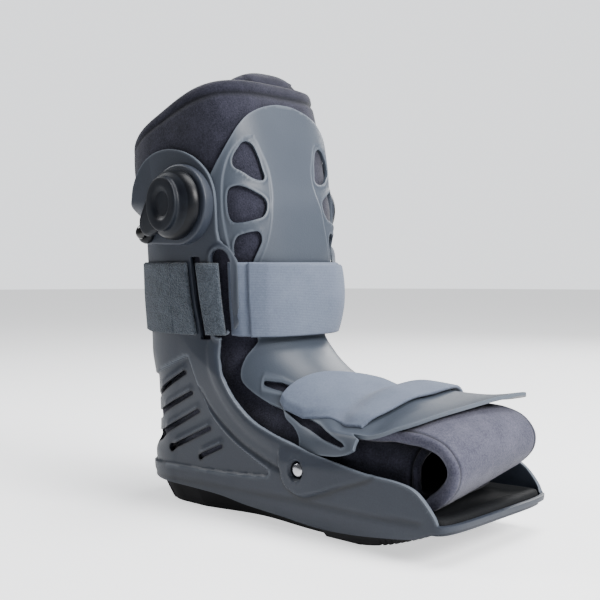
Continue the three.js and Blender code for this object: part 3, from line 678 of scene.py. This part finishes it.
def shellLift(spots):
    flat = spots[:, [0, 2]]
    x, z = flat.T
    inPanel = depthIn(flat, panel)
    inside = ramp(inPanel, 0.5, 2) * (1 - ramp(-x, 118, 132))
    lift = -shell["panelDepth"] * ramp(inPanel, -0.4, 0.9)
    lift -= shell["heelDepth"] * ramp(-x, 104, 140) * ramp(z, 32, 44) * (1 - ramp(z, 84, 108))
    for slit in slits:
        (front, high, _), (back, _, _) = slit[:2]
        above = (flat - (front, high)) @ overSlit(slit)
        span = ramp(-x, -front - 4, -front + 2) * (1 - ramp(-x, -back - 2, -back + 6))
        lift += shell["louvre"] * ramp(above, 0.2, 1.6) * (1 - ramp(above, 2.2, 7.5)) * inside * span
    fromEdge = offLine(flat, np.concatenate([wallTop, strapEar[:12]])[::3])
    lift += shell["rimRoll"] * ramp(fromEdge, 0, 4) * (1 - ramp(fromEdge, 7, 12)) * (1 - ramp(x, 0, 20))
    lift -= shell["groove"] * ridge(offLine(flat, grooveLine), 1.6)
    lift += shell["slotRim"] * ramp(inStroke(flat, slotFront), -4.5, -1.5) * onSide(spots)
    bossTop = 0.08 + 0.92 * (1 - ramp(x, 34, 84))
    lift += shell["bossLift"] * bossTop * ramp(depthIn(flat, bossOutline), -1.0, 2.2) * (1 - ramp(z, 44, 56))
    away = np.linalg.norm((flat - rivetPlace) / [1, 1.05], axis=1)
    lift -= shell["rivetWell"] * (1 - ramp(away, 5.3, 6.4))
    lift += 0.35 * ridge(away - 7.2, 0.8)
    return lift - shell["band"] * ridge(offLine(flat, bandLine), 1.3)


# The wings stay nearly flat where the wall turns round the calf
def wingFlare(spots):
    x, y, z = spots.T
    share = ramp(z, 196, 212) * ramp(-x, 84, 96) * (1 - ramp(-x, 131, 141))
    flatter = np.maximum(np.abs(y), shell["wingHalf"] - 0.10 * np.maximum(-85 - x, 0))
    return np.sign(y) * (np.abs(y) + (flatter - np.abs(y)) * share)


# Painted highlights on the shell's outline edges, the panel's outline, the louvre crests and the front slot's
# rim; painted shade in the slits, the groove, along the band and under the boss
def shellPaintedLight(spots):
    flat = spots[:, [0, 2]]
    x, z = flat.T
    lines = 0.4 * ridge(depthIn(flat, panel) + 0.6, 1.0) * (x > -110)
    for slit in slits:
        crest = np.array([stop[:2] for stop in slit[:2]]) + 2.6 * overSlit(slit)
        # Painted highlight on each louvre's crest
        lines += 0.45 * ridge(offLine(flat, crest), 0.7)
        # Painted shade in each slit
        lines -= 0.95 * ridge(np.minimum(inStroke(flat, slit), 0), 0.9)
    # Painted highlight along the shell's outline edges
    lines += 0.6 * ridge(depthIn(flat, shellOutline), 0.8) * (z > 24)
    lines -= 0.55 * ridge(offLine(flat, grooveLine), 1.3)
    lines -= 0.5 * ridge(offLine(flat, bandLine) - 0.6, 1.1)
    # Painted shade under the boss
    lines -= 0.85 * ridge(depthIn(flat, bossOutline) + 0.9, 1.4) * (1 - ramp(z, 40, 48))
    lines += 0.45 * ridge(inStroke(flat, slotFront) + 1.3, 0.7) * onSide(spots)
    return np.clip(lines, -1, 1)


shellSkin = ringSurface(shellLevels, np.linspace(5, 248, 200), 0)
bm = trimmed(shellSkin, 330, 118, shellKeep, shellFiner)
laid(bm, shellSkin, shellLift, lines=shellPaintedLight, flare=wingFlare)
bmesh.ops.remove_doubles(bm, verts=bm.verts[:], dist=0.00001)
walled(finished("rear-shell", bm, "shell", stands=("rear_shell",)), shell["wall"], shell["edge"])
print("rear shell")


# The floor of the shell closes it under the footbed. It, the sole and the footbed
# are cut from one flat sheet, by the shell's own rings.
def ringOutline(height, grow):
    return ringSurface(shellLevels, np.array([height, height + 1]), grow, 260).rows[0][:-1, :2]


def baseAt(x):
    return np.interp(x, baseLine[:, 0], baseLine[:, 1])


def within(outline):
    return lambda spots: depthIn(spots[:, :2], outline)


plan = Surface([[(x, y, 0) for x in np.linspace(-160, 150, 60)] for y in np.linspace(-70, 70, 60)])
baseLine = smoothLine(soleLine, 120)
floorTop = 17.6
bm = trimmed(plan, 130, 60, within(ringOutline(14, -1.5)))
spots = plan.under(bm)
setCoords(bm, np.column_stack([spots[:, :2], baseAt(spots[:, 0]) + 0.3]) * mm)
for v in doubled(bm):
    v.co.z = floorTop * mm
bmesh.ops.recalc_face_normals(bm, faces=bm.faces[:])
finished("shell-floor", bm, "shell", smooth=False)


# The sole and the footbed
sole = {"pitch": 12.0, "groove": 3.4, "depth": 2.4, "inset": 2.2, "tooth": 4.6, "nick": 1.1,
        "narrowing": 0.87, "shortening": 0.96, "halfTread": 30, "halfWaist": 46.5, "waistCut": 9.5}
groundLine = smoothLine([
    (-165, 12), (-146, 8.2), (-134, 4.2), (-122, 1.4), (-104, 0), (50, 0), (72, 0.4), (90, 3.4), (104, 7.4),
    (118, 12.2), (130, 16.4), (150, 19)], 160)
groundLine[:, 1] = np.maximum(groundLine[:, 1], 0)
soleOutline = ringOutline(14, -sole["inset"])


def soleKeep(spots):
    x, y = spots[:, 0], np.abs(spots[:, 1])
    keep = depthIn(spots[:, :2], soleOutline) - 3.0 * ramp(-x, 100, 140)
    waist = sole["halfWaist"] - sole["waistCut"] * ridge(x + 29, 42)
    return np.minimum(keep, np.where((x > -100) & (x < 40), waist - y, 99))


# How far a cut goes into the sole: fine teeth at its ends, wide grooves between
def cutAt(x, y):
    ends = x > 84 or x < -112
    pitch, width = (sole["tooth"], sole["tooth"] * 0.45) if ends else (sole["pitch"], sole["groove"])
    phase = x / pitch % 1 * pitch
    if min(phase, pitch - phase) < width / 2 and (ends or abs(y) < sole["halfTread"]):
        return sole["nick"] if ends else sole["depth"]
    return 0


bm = trimmed(plan, 230, 90, soleKeep)
upper = set(doubled(bm))
for v in bm.verts:
    x, y, _ = plan.at(np.array([[v.co.x, v.co.y]]))[0]
    if v in upper:
        v.co = (x * mm, y * mm, (baseAt(x) - 0.1) * mm)
    else:
        ground = np.interp(x, groundLine[:, 0], groundLine[:, 1])
        v.co = (x * sole["shortening"] * mm, y * sole["narrowing"] * mm, (ground + cutAt(x, y)) * mm)
bmesh.ops.recalc_face_normals(bm, faces=bm.faces[:])
finished("outsole-rubber", bm, "sole", smooth=False, stands=("outsole",))

bed = {"middle": 22.0, "roll": 1.1, "thick": 7.4}
bedKeep = within(ringOutline(22, -3.2))
bm = trimmed(plan, 150, 66, bedKeep)
spots = plan.under(bm)
depth = bedKeep(spots)
spots[:, 2] = bed["middle"] + bed["roll"] * ridge(depth - 5, 3.5)
setCoords(bm, spots * mm)
plump(bm, np.tile([0.0, 0.0, 1.0], (len(spots), 1)), depth, bed["thick"], 2.0)
finished("foam-footbed", bm, "footbed", stands=("footbed",))
print("sole and footbed")


# The liner and the tongue inside its front
liner = {"wall": 6.6, "rounding": 3.3, "rimSeam": 7.5, "toeSeam": 5.0, "seamDepth": 1.5, "heelTuck": 7.0,
         "instepTuck": 0.8, "ripple": 0.5, "flapWall": 4.8, "flapTop": 301.4, "flapFall": 17.0}
linerSkin = fanSurface(linerStations, -3.1, bow=5)


# How far points lie along a surface from its first row, and from its last
def fromEnds(surface, shares):
    steps = np.linalg.norm(np.diff(surface.rows, axis=0), axis=2).mean(axis=1)
    along = np.concatenate([[0], np.cumsum(steps)])
    down = np.interp(shares[:, 1], np.linspace(0, 1, len(along)), along)
    return down, along[-1] - down


bm = trimmed(linerSkin, 220, 240)
shares = coordsOf(bm)[:, :2]
spots = linerSkin.at(shares)
normals = linerSkin.normalAt(shares)
down, left = fromEnds(linerSkin, shares)
x, y, z = spots.T
tuck = liner["heelTuck"] * ramp(-x, 70, 112) * ramp(z, 22, 34) * (1 - ramp(z, 94, 118))
tuck += liner["instepTuck"] * (1 - ramp(z, 120, 150)) * ramp(y ** 2, 1200, 2000)
seamLine = ridge(down - liner["rimSeam"], 1.2) + ridge(left - liner["toeSeam"], 1.0)
# Painted shade along the rim and toe seam grooves
marked(bm, "line", -seamLine)
spots = spots - normals * (tuck + liner["seamDepth"] * seamLine)[:, None]
wave = liner["ripple"] * np.sin(spots[:, 0] * 0.09 + spots[:, 2] * 0.05) * np.sin(spots[:, 1] * 0.07)
spots = spots + normals * wave[:, None]
setCoords(bm, spots * mm)
bm.normal_update()
plump(bm, normals, np.minimum(down, left), liner["wall"], liner["rounding"])
lining = finished("padded-liner", bm, "liner", stands=("liner",))

flapSide = smoothLine([
    (-73, 295), (-62, 304), (-20, 306), (9, 255), (-6, 210), (-58, 198), (-76, 216), (-84, 268)], 160,
    closed=True)
flapRows = fanSurface(linerStations, -9.9, 240, 420, bow=5).rows
flapSkin = Surface(np.concatenate([[flapRows[0] + np.array([-0.2, 0, 1]) * k for k in (14, 10.5, 7, 3.5)],
                                   flapRows]))


def flapKeep(spots):
    arch = liner["flapTop"] - liner["flapFall"] * (np.abs(spots[:, 1] - 4) / 47) ** 2.6
    return np.minimum(depthIn(spots[:, [0, 2]], flapSide), arch - spots[:, 2])


def flapSeam(spots, width):
    return ridge(flapKeep(spots) - 5, width)


bm = trimmed(flapSkin, 190, 130, flapKeep, span=(0.1, 0.9, 0, 0.5))
depth = flapKeep(flapSkin.under(bm))
# The seam is pressed in and drawn with painted shade
normals = laid(bm, flapSkin, lambda spots: -0.7 * flapSeam(spots, 0.8),
               lines=lambda spots: -0.8 * flapSeam(spots, 0.9))
plump(bm, normals, depth, liner["flapWall"], 2.4)
flap = finished("liner-tongue", bm, "liner", stands=("liner_flap",))
print("liner")


# The near edge of the instep, and the pad under it, are drawn down by the strap
def plateSag(spots):
    x, y, z = spots.T
    return 6.0 * ramp(x, 34, 56) * (1 - ramp(x, 76, 96)) * ramp(-y, 8, 42) * ramp(z, 66, 76)


toe = {"wall": 8.4, "half": 46.0, "crown": 0.14, "tilt": 0.07, "seam": 4.2, "seamDepth": 0.7, "liftFar": 0.24,
       "bedTop": 26.2, "top": 84}
toePath = smoothLine([
    (58, 84.5), (75, 82.9), (96, 80.7), (112, 79.3), (125.9, 73.3), (134.0, 61.3), (133.7, 48.1),
    (126.4, 36.1), (116, 26.5)], 90)
away = np.gradient(toePath, axis=0)
away /= np.linalg.norm(away, axis=1, keepdims=True)
toeMiddle = toePath + np.stack([away[:, 1], -away[:, 0]], axis=1) * toe["wall"] / 2
across = np.linspace(-1, 1, 80)
toeRows = []
for x, z in toeMiddle:
    rise = (z - toe["bedTop"]) * (1 - toe["crown"] * across ** 2 + toe["tilt"] * across * toe["half"] / 58)
    level = toe["bedTop"] + rise
    level = level + (toe["top"] - level) * toe["liftFar"] * (across / 2 + 0.5) ** 1.4
    row = np.column_stack([np.full(len(across), x), across * toe["half"], level])
    row[:, 2] -= plateSag(row) * ramp(level, 60, 70) + 1.2 * (1 - ramp(row[:, 0], 60, 90)) * (level > 60)
    toeRows.append(row)
toeSkin = Surface(toeRows)
bm = trimmed(toeSkin, 110, 120)
shares = coordsOf(bm)[:, :2]
fromSide = toe["half"] * (1 - np.abs(shares[:, 0] - 0.5) * 2)
edgeDepth = np.minimum(fromSide, np.minimum(*fromEnds(toeSkin, shares)))
normals = laid(bm, toeSkin)
seam = ridge(edgeDepth - toe["seam"], 0.8)
# Painted shade along the seam groove
marked(bm, "line", -0.9 * seam)
setCoords(bm, coordsOf(bm) - normals * (toe["seamDepth"] * seam * mm)[:, None])
plump(bm, normals, edgeDepth, toe["wall"], 3.6)
toePad = finished("toe-pad", bm, "toe", stands=("toe_flap",))
print("toe pad")


# The front plate
plate = {"wall": 0.0024, "edge": 0.00045, "angle": math.radians(40), "panelDepth": 0.8, "twist": 5.0,
         "grow": 2.85, "curl": 2.2, "shinFrom": 140, "instepTo": 130, "armsFrom": 26}
plateSide = smoothLine([
    (60, 330), (-10, 320), (-50, 310), (-63, 290), (-64, 260), (-62, 235), (-60, 220), (-60, 205),
    (-58, 193), (-47, 183), (-38, 176), (-36.5, 165), (-36, 140), (-33.5, 128), (-28.5, 117), (-32.5, 106),
    (-34, 97), (-31.5, 90), (-22, 83.5), (-10, 78.5), (2, 75.4), (7.1, 70.4), (15.5, 65.6), (21, 60.2),
    (22.5, 55.3), (25, 51.5), (43.9, 52.4), (60, 54.2), (70, 58.0), (73.3, 62), (73, 66), (69, 68.9),
    (76, 70.5), (150, 64.5), (200, 64)], 420)
topHalf = [
    (70, -10), (70, 205), (60.5, 213), (57.5, 225), (55.4, 235), (52.4, 244), (48.6, 252), (43.4, 260),
    (35.5, 267.5), (24, 273.2), (10, 276.8)]
plateTop = smoothLine(topHalf + [(0, 277.4)] + [(-y, z) for y, z in topHalf[::-1]], 200)
plateToe = smoothLine([
    (-145, -120), (40, -120), (66, -75), (74, -57), (92, -53), (104, -43), (111, -28), (116, -12),
    (120.6, 12), (123.6, 34), (125.2, 48), (116, 51), (96, 50.5), (72, 53), (66, 75), (40, 120),
    (-145, 120)], 300)
windows = [smoothLine(window, 90, closed=True) for window in (
    [(-52.1, 249.8), (-49.3, 248.9), (-46.5, 245.9), (-43.2, 238.4), (-40.8, 230.9), (-39.4, 226.6),
     (-40.6, 224.2), (-43.6, 224.1), (-47.7, 225.4), (-53.7, 229.1), (-59.6, 232.2), (-61, 235.9),
     (-60, 240.3), (-57.3, 244.8), (-54.8, 248.4)],
    [(-61.7, 218.8), (-57, 220.1), (-51.9, 219), (-46.1, 216.5), (-40.3, 213.2), (-37.9, 209.7),
     (-37.7, 204.9), (-39.2, 200.8), (-41.6, 198.8), (-48.6, 196.7), (-55.4, 195.4), (-60.3, 195.9),
     (-63, 199.4), (-64, 204.4), (-64.4, 211.7), (-63.6, 216.6)],
    [(-56.9, 186.7), (-51.4, 188.7), (-45.9, 189.8), (-43, 189.6), (-41.3, 186.9), (-41.2, 182.9),
     (-43.8, 176.9), (-47, 169.9), (-50, 161), (-53.5, 158), (-56.6, 163), (-58.5, 171), (-59.9, 177.5),
     (-59.2, 183)])]
oval = smoothLine([
    (-51.3, 252.6), (-46.6, 250.6), (-42.2, 241.8), (-37.8, 231.0), (-35.5, 218.1), (-35.1, 208.4),
    (-35.8, 193.9), (-38.6, 180.9), (-42.8, 170.0), (-47, 160), (-52, 153), (-56, 158), (-59.5, 170),
    (-62.5, 178), (-64.8, 187.5), (-67.1, 201.3), (-67.7, 215.5), (-67.0, 226.5), (-63.9, 238),
    (-58.4, 247.2)], 200, closed=True)
armSlot = [(4, 74.8), (8, 75.4), (36, 69.0), (62, 62.4), (64.5, 60.6), (61.5, 59.4), (42, 62.2), (20, 67.6)]


# Across the shin, seen square to one of its corners; the plate sits a little twisted
def onShin(spots):
    side = np.abs(spots[:, 1])
    across = spots[:, 0] * math.cos(plate["angle"]) - side * math.sin(plate["angle"])
    return np.stack([across - plate["twist"] * (spots[:, 1] > 0), spots[:, 2]], axis=1)


# How deep points lie in the plate's openings, each only in its own part of the plate
def inWindows(spots):
    deepest = np.maximum.reduce([depthIn(onShin(spots), window) for window in windows])
    return np.where(spots[:, 2] > plate["shinFrom"], deepest, -99)


def inOval(spots):
    return np.where(spots[:, 2] > plate["shinFrom"], depthIn(onShin(spots), oval), -99)


def inSlots(spots):
    flat = np.column_stack([spots[:, 0], np.abs(spots[:, 1])])
    stroke = inStroke(flat, [(-17, 41, 0.5), (-6, 37.5, 1.6), (28, 30, 2.8)])
    return np.where(spots[:, 2] < plate["instepTo"], stroke, -99)


def inArm(spots):
    place = (spots[:, 2] < plate["instepTo"]) & (np.abs(spots[:, 1]) > plate["armsFrom"])
    return np.where(place, depthIn(spots[:, [0, 2]], armSlot), -99)


def plateEdge(spots):
    edge = np.minimum(depthIn(spots[:, [0, 2]], plateSide), depthIn(spots[:, :2], plateToe))
    return np.where(spots[:, 2] > 195, np.minimum(edge, depthIn(spots[:, 1:], plateTop)), edge)


def plateKeep(spots):
    return np.minimum.reduce([plateEdge(spots), -inWindows(spots), -inSlots(spots), -inArm(spots)])


def plateFiner(spots):
    return (np.abs(inOval(spots)) < 2.4) | (np.abs(inWindows(spots)) < 3) | (inSlots(spots) > -4)


def plateLift(spots):
    lift = -plate["panelDepth"] * ramp(inOval(spots), -0.5, 0.7)
    lift += 0.35 * ridge(np.abs(inWindows(spots)) - 1.2, 0.9)
    lift += 0.4 * ridge(inSlots(spots) + 1.4, 0.8)
    return lift + plate["curl"] * ramp(spots[:, 1], 26, 50) * ramp(spots[:, 0], 94, 122)


# Painted highlights along the oval, the windows, the plate's edges and its slots
def platePaintedLight(spots):
    lines = 0.5 * ridge(inOval(spots) + 0.3, 0.6) + 0.4 * ridge(inWindows(spots) + 0.7, 0.6)
    lines += 0.5 * ridge(plateEdge(spots), 0.8) + 0.4 * ridge(inSlots(spots) + 1.0, 0.7)
    return np.clip(lines + 0.5 * ridge(inArm(spots) + 0.7, 0.7), -1, 1)


plateSkin = fanSurface(plateStations, plate["grow"])
bm = trimmed(plateSkin, 200, 210, plateKeep, plateFiner, span=(0.16, 0.84, 0, 1))
laid(bm, plateSkin, plateLift, lines=platePaintedLight, sag=plateSag)
walled(finished("shin-plate", bm, "plate", stands=("front_plate",)), plate["wall"], plate["edge"])
print("front plate")


# The straps
strap = {"low": 120.5, "middle": 145, "high": 169.5, "lean": 0.10, "rear": -67.2, "wrapRear": -59.0,
         "wrapFront": -43.0, "front": -40.7, "tabRight": -26.0, "tabLeft": -43.5, "bulge": 3.6,
         "foreRise": 4.6}


def strapSurface(grow, fromRear=False):
    high = np.linspace(strap["low"] - 2, strap["high"] + 2, 60)
    rows = [(z, a, -14.4, c, d, e, 72, 2.6) for z, a, _, c, d, e, _, _ in shellLevels if 85 < z < 215]
    return ringSurface(rows, high, grow, fromRear=fromRear)


def leaning(spots):
    return spots[:, 0] + strap["lean"] * (spots[:, 2] - strap["middle"])


def band(spots, low, high):
    return np.minimum(spots[:, 2] - low, high - spots[:, 2])


def unsewn(spots):
    return np.zeros(len(spots))


def softStrap(name, surface, keep, finish, thickness, rounding, stands, lift=None, grid=(300, 34),
              span=(0, 1, 0, 1), stitches=unsewn, size=(0.45, 0.052), sag=None):
    bm = trimmed(surface, *grid, keep, span=span)
    spots = surface.under(bm)
    normals = laid(bm, surface, lift, size, sag=sag)
    marked(bm, "stitches", stitches(spots))
    plump(bm, normals, np.maximum(keep(spots), 0), thickness, rounding)
    return finished(name, bm, finish, stands=stands)


def rearKeep(spots):
    return np.minimum(band(spots, strap["low"], strap["high"]), strap["rear"] - leaning(spots))


pileRear = softStrap("pile-strap", strapSurface(2.0), rearKeep, "pile", 3.0, 1.3, ("rear_strap",))


def wrapMaker(side, word):
    def keep(spots):
        straighter = leaning(spots) - 0.05 * (spots[:, 2] - strap["middle"])
        inX = np.minimum(leaning(spots) - strap["wrapRear"], strap["wrapFront"] - straighter)
        inside = np.minimum(band(spots, strap["low"] + 0.5, strap["high"] - 0.3), inX)
        return np.where(spots[:, 1] * side > 0, inside, -9)

    def lift(spots):
        middle = (strap["wrapRear"] + strap["wrapFront"]) / 2
        return ridge(leaning(spots) - middle, 6)

    piece = softStrap(f"pile-wrap-{word}", strapSurface(2.4), keep, "pile", 3.6, 1.8, (f"strap_wrap_{word}",),
                      lift, (700, 44))


bothSides(wrapMaker)


def bulge(spots):
    high = 1 - ((spots[:, 2] - strap["middle"]) / 25) ** 2
    return strap["bulge"] * np.clip(high, 0, 1) * ridge(spots[:, 1] - 34, 24) * ramp(spots[:, 0], -60, -30)


def frontKeep(spots):
    return np.minimum(band(spots, strap["low"], strap["high"]), spots[:, 0] - strap["front"])


def frontLift(spots):
    return -6.0 * (1 - ramp(spots[:, 0] - strap["front"], 0, 8.5)) + bulge(spots)


webFront = softStrap("front-webbing", strapSurface(2.1, True), frontKeep, "strap", 2.2, 0.8, ("front_strap",),
                     frontLift)


def tabKeep(spots):
    x, y = spots[:, 0], spots[:, 1]
    share = np.clip((y + 57) / 114, 0, 1)
    end = strap["tabRight"] + (strap["tabLeft"] - strap["tabRight"]) * ramp(share, 0.2, 0.9)
    return np.minimum(band(spots, strap["low"] - 0.2, strap["high"] + 0.3 - 2.2 * share), x - end)


def tabStitches(spots):
    fromEnd = np.where(spots[:, 1] < 0, spots[:, 0] - strap["tabRight"], 99)
    return ramp(fromEnd, 0.5, 1.5) * (1 - ramp(fromEnd, 7, 9)) * ramp(tabKeep(spots), 0.3, 1)


webTab = softStrap("overlap-webbing", strapSurface(4.4, True), tabKeep, "strap", 1.8, 0.8, ("strap_tab",),
                   bulge, stitches=tabStitches)

foreRegion = np.concatenate([
    smoothLine([(-4, -56), (-1, -41), (8, -24), (18, -3), (27, 22), (36, 49)], 50),
    smoothLine([(76, 52), (84, 26), (86, 0), (81, -24), (74, -39), (67, -52)], 50)])
nearEnd = ([-20, -6, 3, 20, 34, 50, 66, 90], [92, 84, 76.5, 72, 73.5, 76.8, 78, 77])


def foreKeep(spots):
    low = np.where(spots[:, 1] < 0, np.interp(spots[:, 0], *nearEnd), 70.5)
    return np.minimum(depthIn(spots[:, :2], foreRegion), spots[:, 2] - low)


def foreLift(spots):
    tucked = np.where(spots[:, 1] < 0, spots[:, 2] - np.interp(spots[:, 0], *nearEnd), 99)
    peak = strap["foreRise"] * ridge(spots[:, 0] - 36, 26) * ridge(spots[:, 1] - 30, 24)
    return 0.8 - 2.2 * (1 - ramp(tucked, 0, 5)) + peak


foreSkin = fanSurface(plateStations, plate["grow"] + 1.7)
foreStrap = softStrap("forefoot-webbing", foreSkin, foreKeep, "strap", 2.4, 0.9, ("forefoot_strap",), foreLift,
                      (150, 150), (0.22, 0.78, 0.55, 0.97), size=(0.3, 0.45), sag=plateSag)
print("straps")


# Dials, valves and rivets
dial = {"centre": (-73, 208), "valve": (-103, 190), "inner": 57, "face": 66.6, "paddleFrom": 74.5}


# The outline round a large and a small circle
def teardrop(large, small):
    (x1, z1, r1), (x2, z2, r2) = large, small
    heading = math.atan2(z2 - z1, x2 - x1)
    spread = math.acos((r1 - r2) / math.hypot(x2 - x1, z2 - z1))
    points = []
    for x, z, r, first, last, steps in ((x1, z1, r1, heading + spread, heading + 2 * math.pi - spread, 72),
                                        (x2, z2, r2, heading - spread, heading + spread, 24)):
        for i in range(steps + 1):
            turn = first + (last - first) * i / steps
            points.append((x + r * math.cos(turn), z + r * math.sin(turn)))
    return points


def dialMaker(side, word):
    centre, valve = dial["centre"], dial["valve"]
    drop = sidePlate(teardrop((*centre, 27), (*valve, 8)), dial["inner"], dial["face"], side)
    rounded(finished(f"dial-seat-{word}", drop, "shell"), 0.0016)
    knob = ringStack([
        (23.4, 23.4, 66.9), (23.9, 23.9, 68.0), (23.6, 23.6, 70.4), (22.4, 22.6, 73.0), (20.2, 21.0, 75.2),
        (17.4, 19.3, 76.5), (15.0, 18.3, 77.2), (14.2, 17.9, 78.0), (14.4, 18.1, 80.2), (14.3, 18.0, 81.2),
        (13.6, 17.4, 81.7), (9.2, 11.6, 81.7), (8.4, 10.8, 81.4), (7.4, 9.6, 80.4), (5.0, 6.6, 79.4),
        (2.2, 3.0, 79.0)], centre, side)
    piece = finished(f"pump-dial-{word}", knob, "dial", body=f"{word}_dial", stands=(f"dial_knob_{word}",))
    piece.data.materials.append(finishes["paddle"])
    for face in piece.data.polygons:
        if abs(face.center.y) > dial["paddleFrom"] * mm:
            face.material_index = 1
    smoothed(piece)
    tail = teardrop((centre[0] - 1.5, centre[1] + 0.5, 15.4), (centre[0] - 18.5, centre[1] - 12.5, 8.6))
    lever = finished(f"dial-lever-{word}", sidePlate(tail, 71.0, 80.2, side), "paddle", body=f"{word}_dial")
    for v in lever.data.vertices:
        away = math.hypot(v.co.x / mm - centre[0], v.co.z / mm - centre[1])
        v.co.y -= side * 0.2 * mm * max(0, away - 15) * (abs(v.co.y) > 75 * mm)
    rounded(lever, 0.0024)
    foot = ringStack([(7.6, 7.6, 66.6), (7.9, 7.9, 67.6), (7.4, 7.4, 69.2), (6.4, 6.4, 70.2), (5.4, 5.4, 70.6)],
                     valve, side, 64)
    finished(f"valve-foot-{word}", foot, "dial", stands=(f"valve_base_{word}",))
    bead = ringStack([(4.3, 4.3, 70.3), (4.8, 4.8, 71.4), (4.7, 4.7, 72.6), (4.0, 4.0, 73.8), (2.8, 2.8, 74.5),
                      (1.2, 1.2, 74.8)], valve, side, 48)
    smoothed(finished(f"valve-nub-{word}", bead, "nub", stands=(f"valve_button_{word}",)))
    head = ringStack([(4.5, 4.5, 54.9), (4.6, 4.6, 55.8), (4.1, 4.1, 56.6), (2.9, 2.9, 57.2), (1.4, 1.4, 57.5)],
                     rivetPlace, side, 48)
    smoothed(finished(f"rivet-head-{word}", head, "steel", stands=(f"rivet_{word}",)))
    cup = ringStack([(5.9, 6.1, 56.0), (5.6, 5.8, 55.2), (4.8, 4.9, 54.8)], rivetPlace, side, 64)
    finished(f"rivet-cup-{word}", cup, "dial")


bothSides(dialMaker)
print("dials")


# The floor and the light
stage = {"floor": (0.66, 0.665, 0.675), "glow": 0.85, "glowSeen": 0.6,
         "air": (0.95, 0.97, 1.0), "airStrength": 0.22, "airSeen": 1.5}
bm = bmesh.new()
bmesh.ops.create_circle(bm, cap_ends=True, segments=96, radius=6)
floorMesh = bpy.data.meshes.new("floor")
bm.to_mesh(floorMesh)
bm.free()
floor = placed("floor", floorMesh)
look = Finish("paleFloor", Specular_IOR_Level=0.1)
floorSeen = look.add("ShaderNodeLightPath") * stage["glowSeen"] + stage["glow"]
pale = look.between(look.noise(3, 2), stage["floor"], tuple(c + 0.01 for c in stage["floor"]))
floorMesh.materials.append(look.feed(
    Base_Color=pale, Emission_Color=pale, Emission_Strength=floorSeen,
    Roughness=look.noise(8, 2) * 0.1 + 0.8))

world = bpy.data.worlds.new("studio")
bpy.context.scene.world = world
world.use_nodes = True
background = world.node_tree.nodes["Background"]
background.inputs[0].default_value = (*stage["air"], 1)
seen = world.node_tree.nodes.new("ShaderNodeLightPath")
strength = Wire(world.node_tree, seen.outputs["Is Camera Ray"]) * stage["airSeen"] + stage["airStrength"]
plug(world.node_tree, strength, background.inputs[1])

lamps = [  # name, place, aim, size, watts, tint
    ("keyLamp", (1.25, 0.10, 0.90), (0, 0, 0.14), 0.7, 52, (1.0, 0.99, 0.98)),
    ("highLamp", (0.30, 0.20, 1.40), (0, 0, 0.1), 1.0, 34, (1.0, 1.0, 1.0)),
    ("rimLamp", (-0.95, -0.40, 0.9), (-0.08, 0, 0.22), 0.5, 9, (0.97, 0.98, 1.0)),
    ("backLamp", (-0.3, 1.3, 0.9), (0, 0, 0.15), 0.8, 16, (1.0, 1.0, 1.0))]
for name, place, aim, size, watts, tint in lamps:
    lamp = placed(name, bpy.data.lights.new(name, "AREA"))
    lamp.data.shape, lamp.data.size, lamp.data.energy, lamp.data.color = "DISK", size, watts, tint
    lamp.location = place
    lamp.rotation_euler = (Vector(aim) - Vector(place)).to_track_quat("-Z", "Y").to_euler()

print("stage and light")
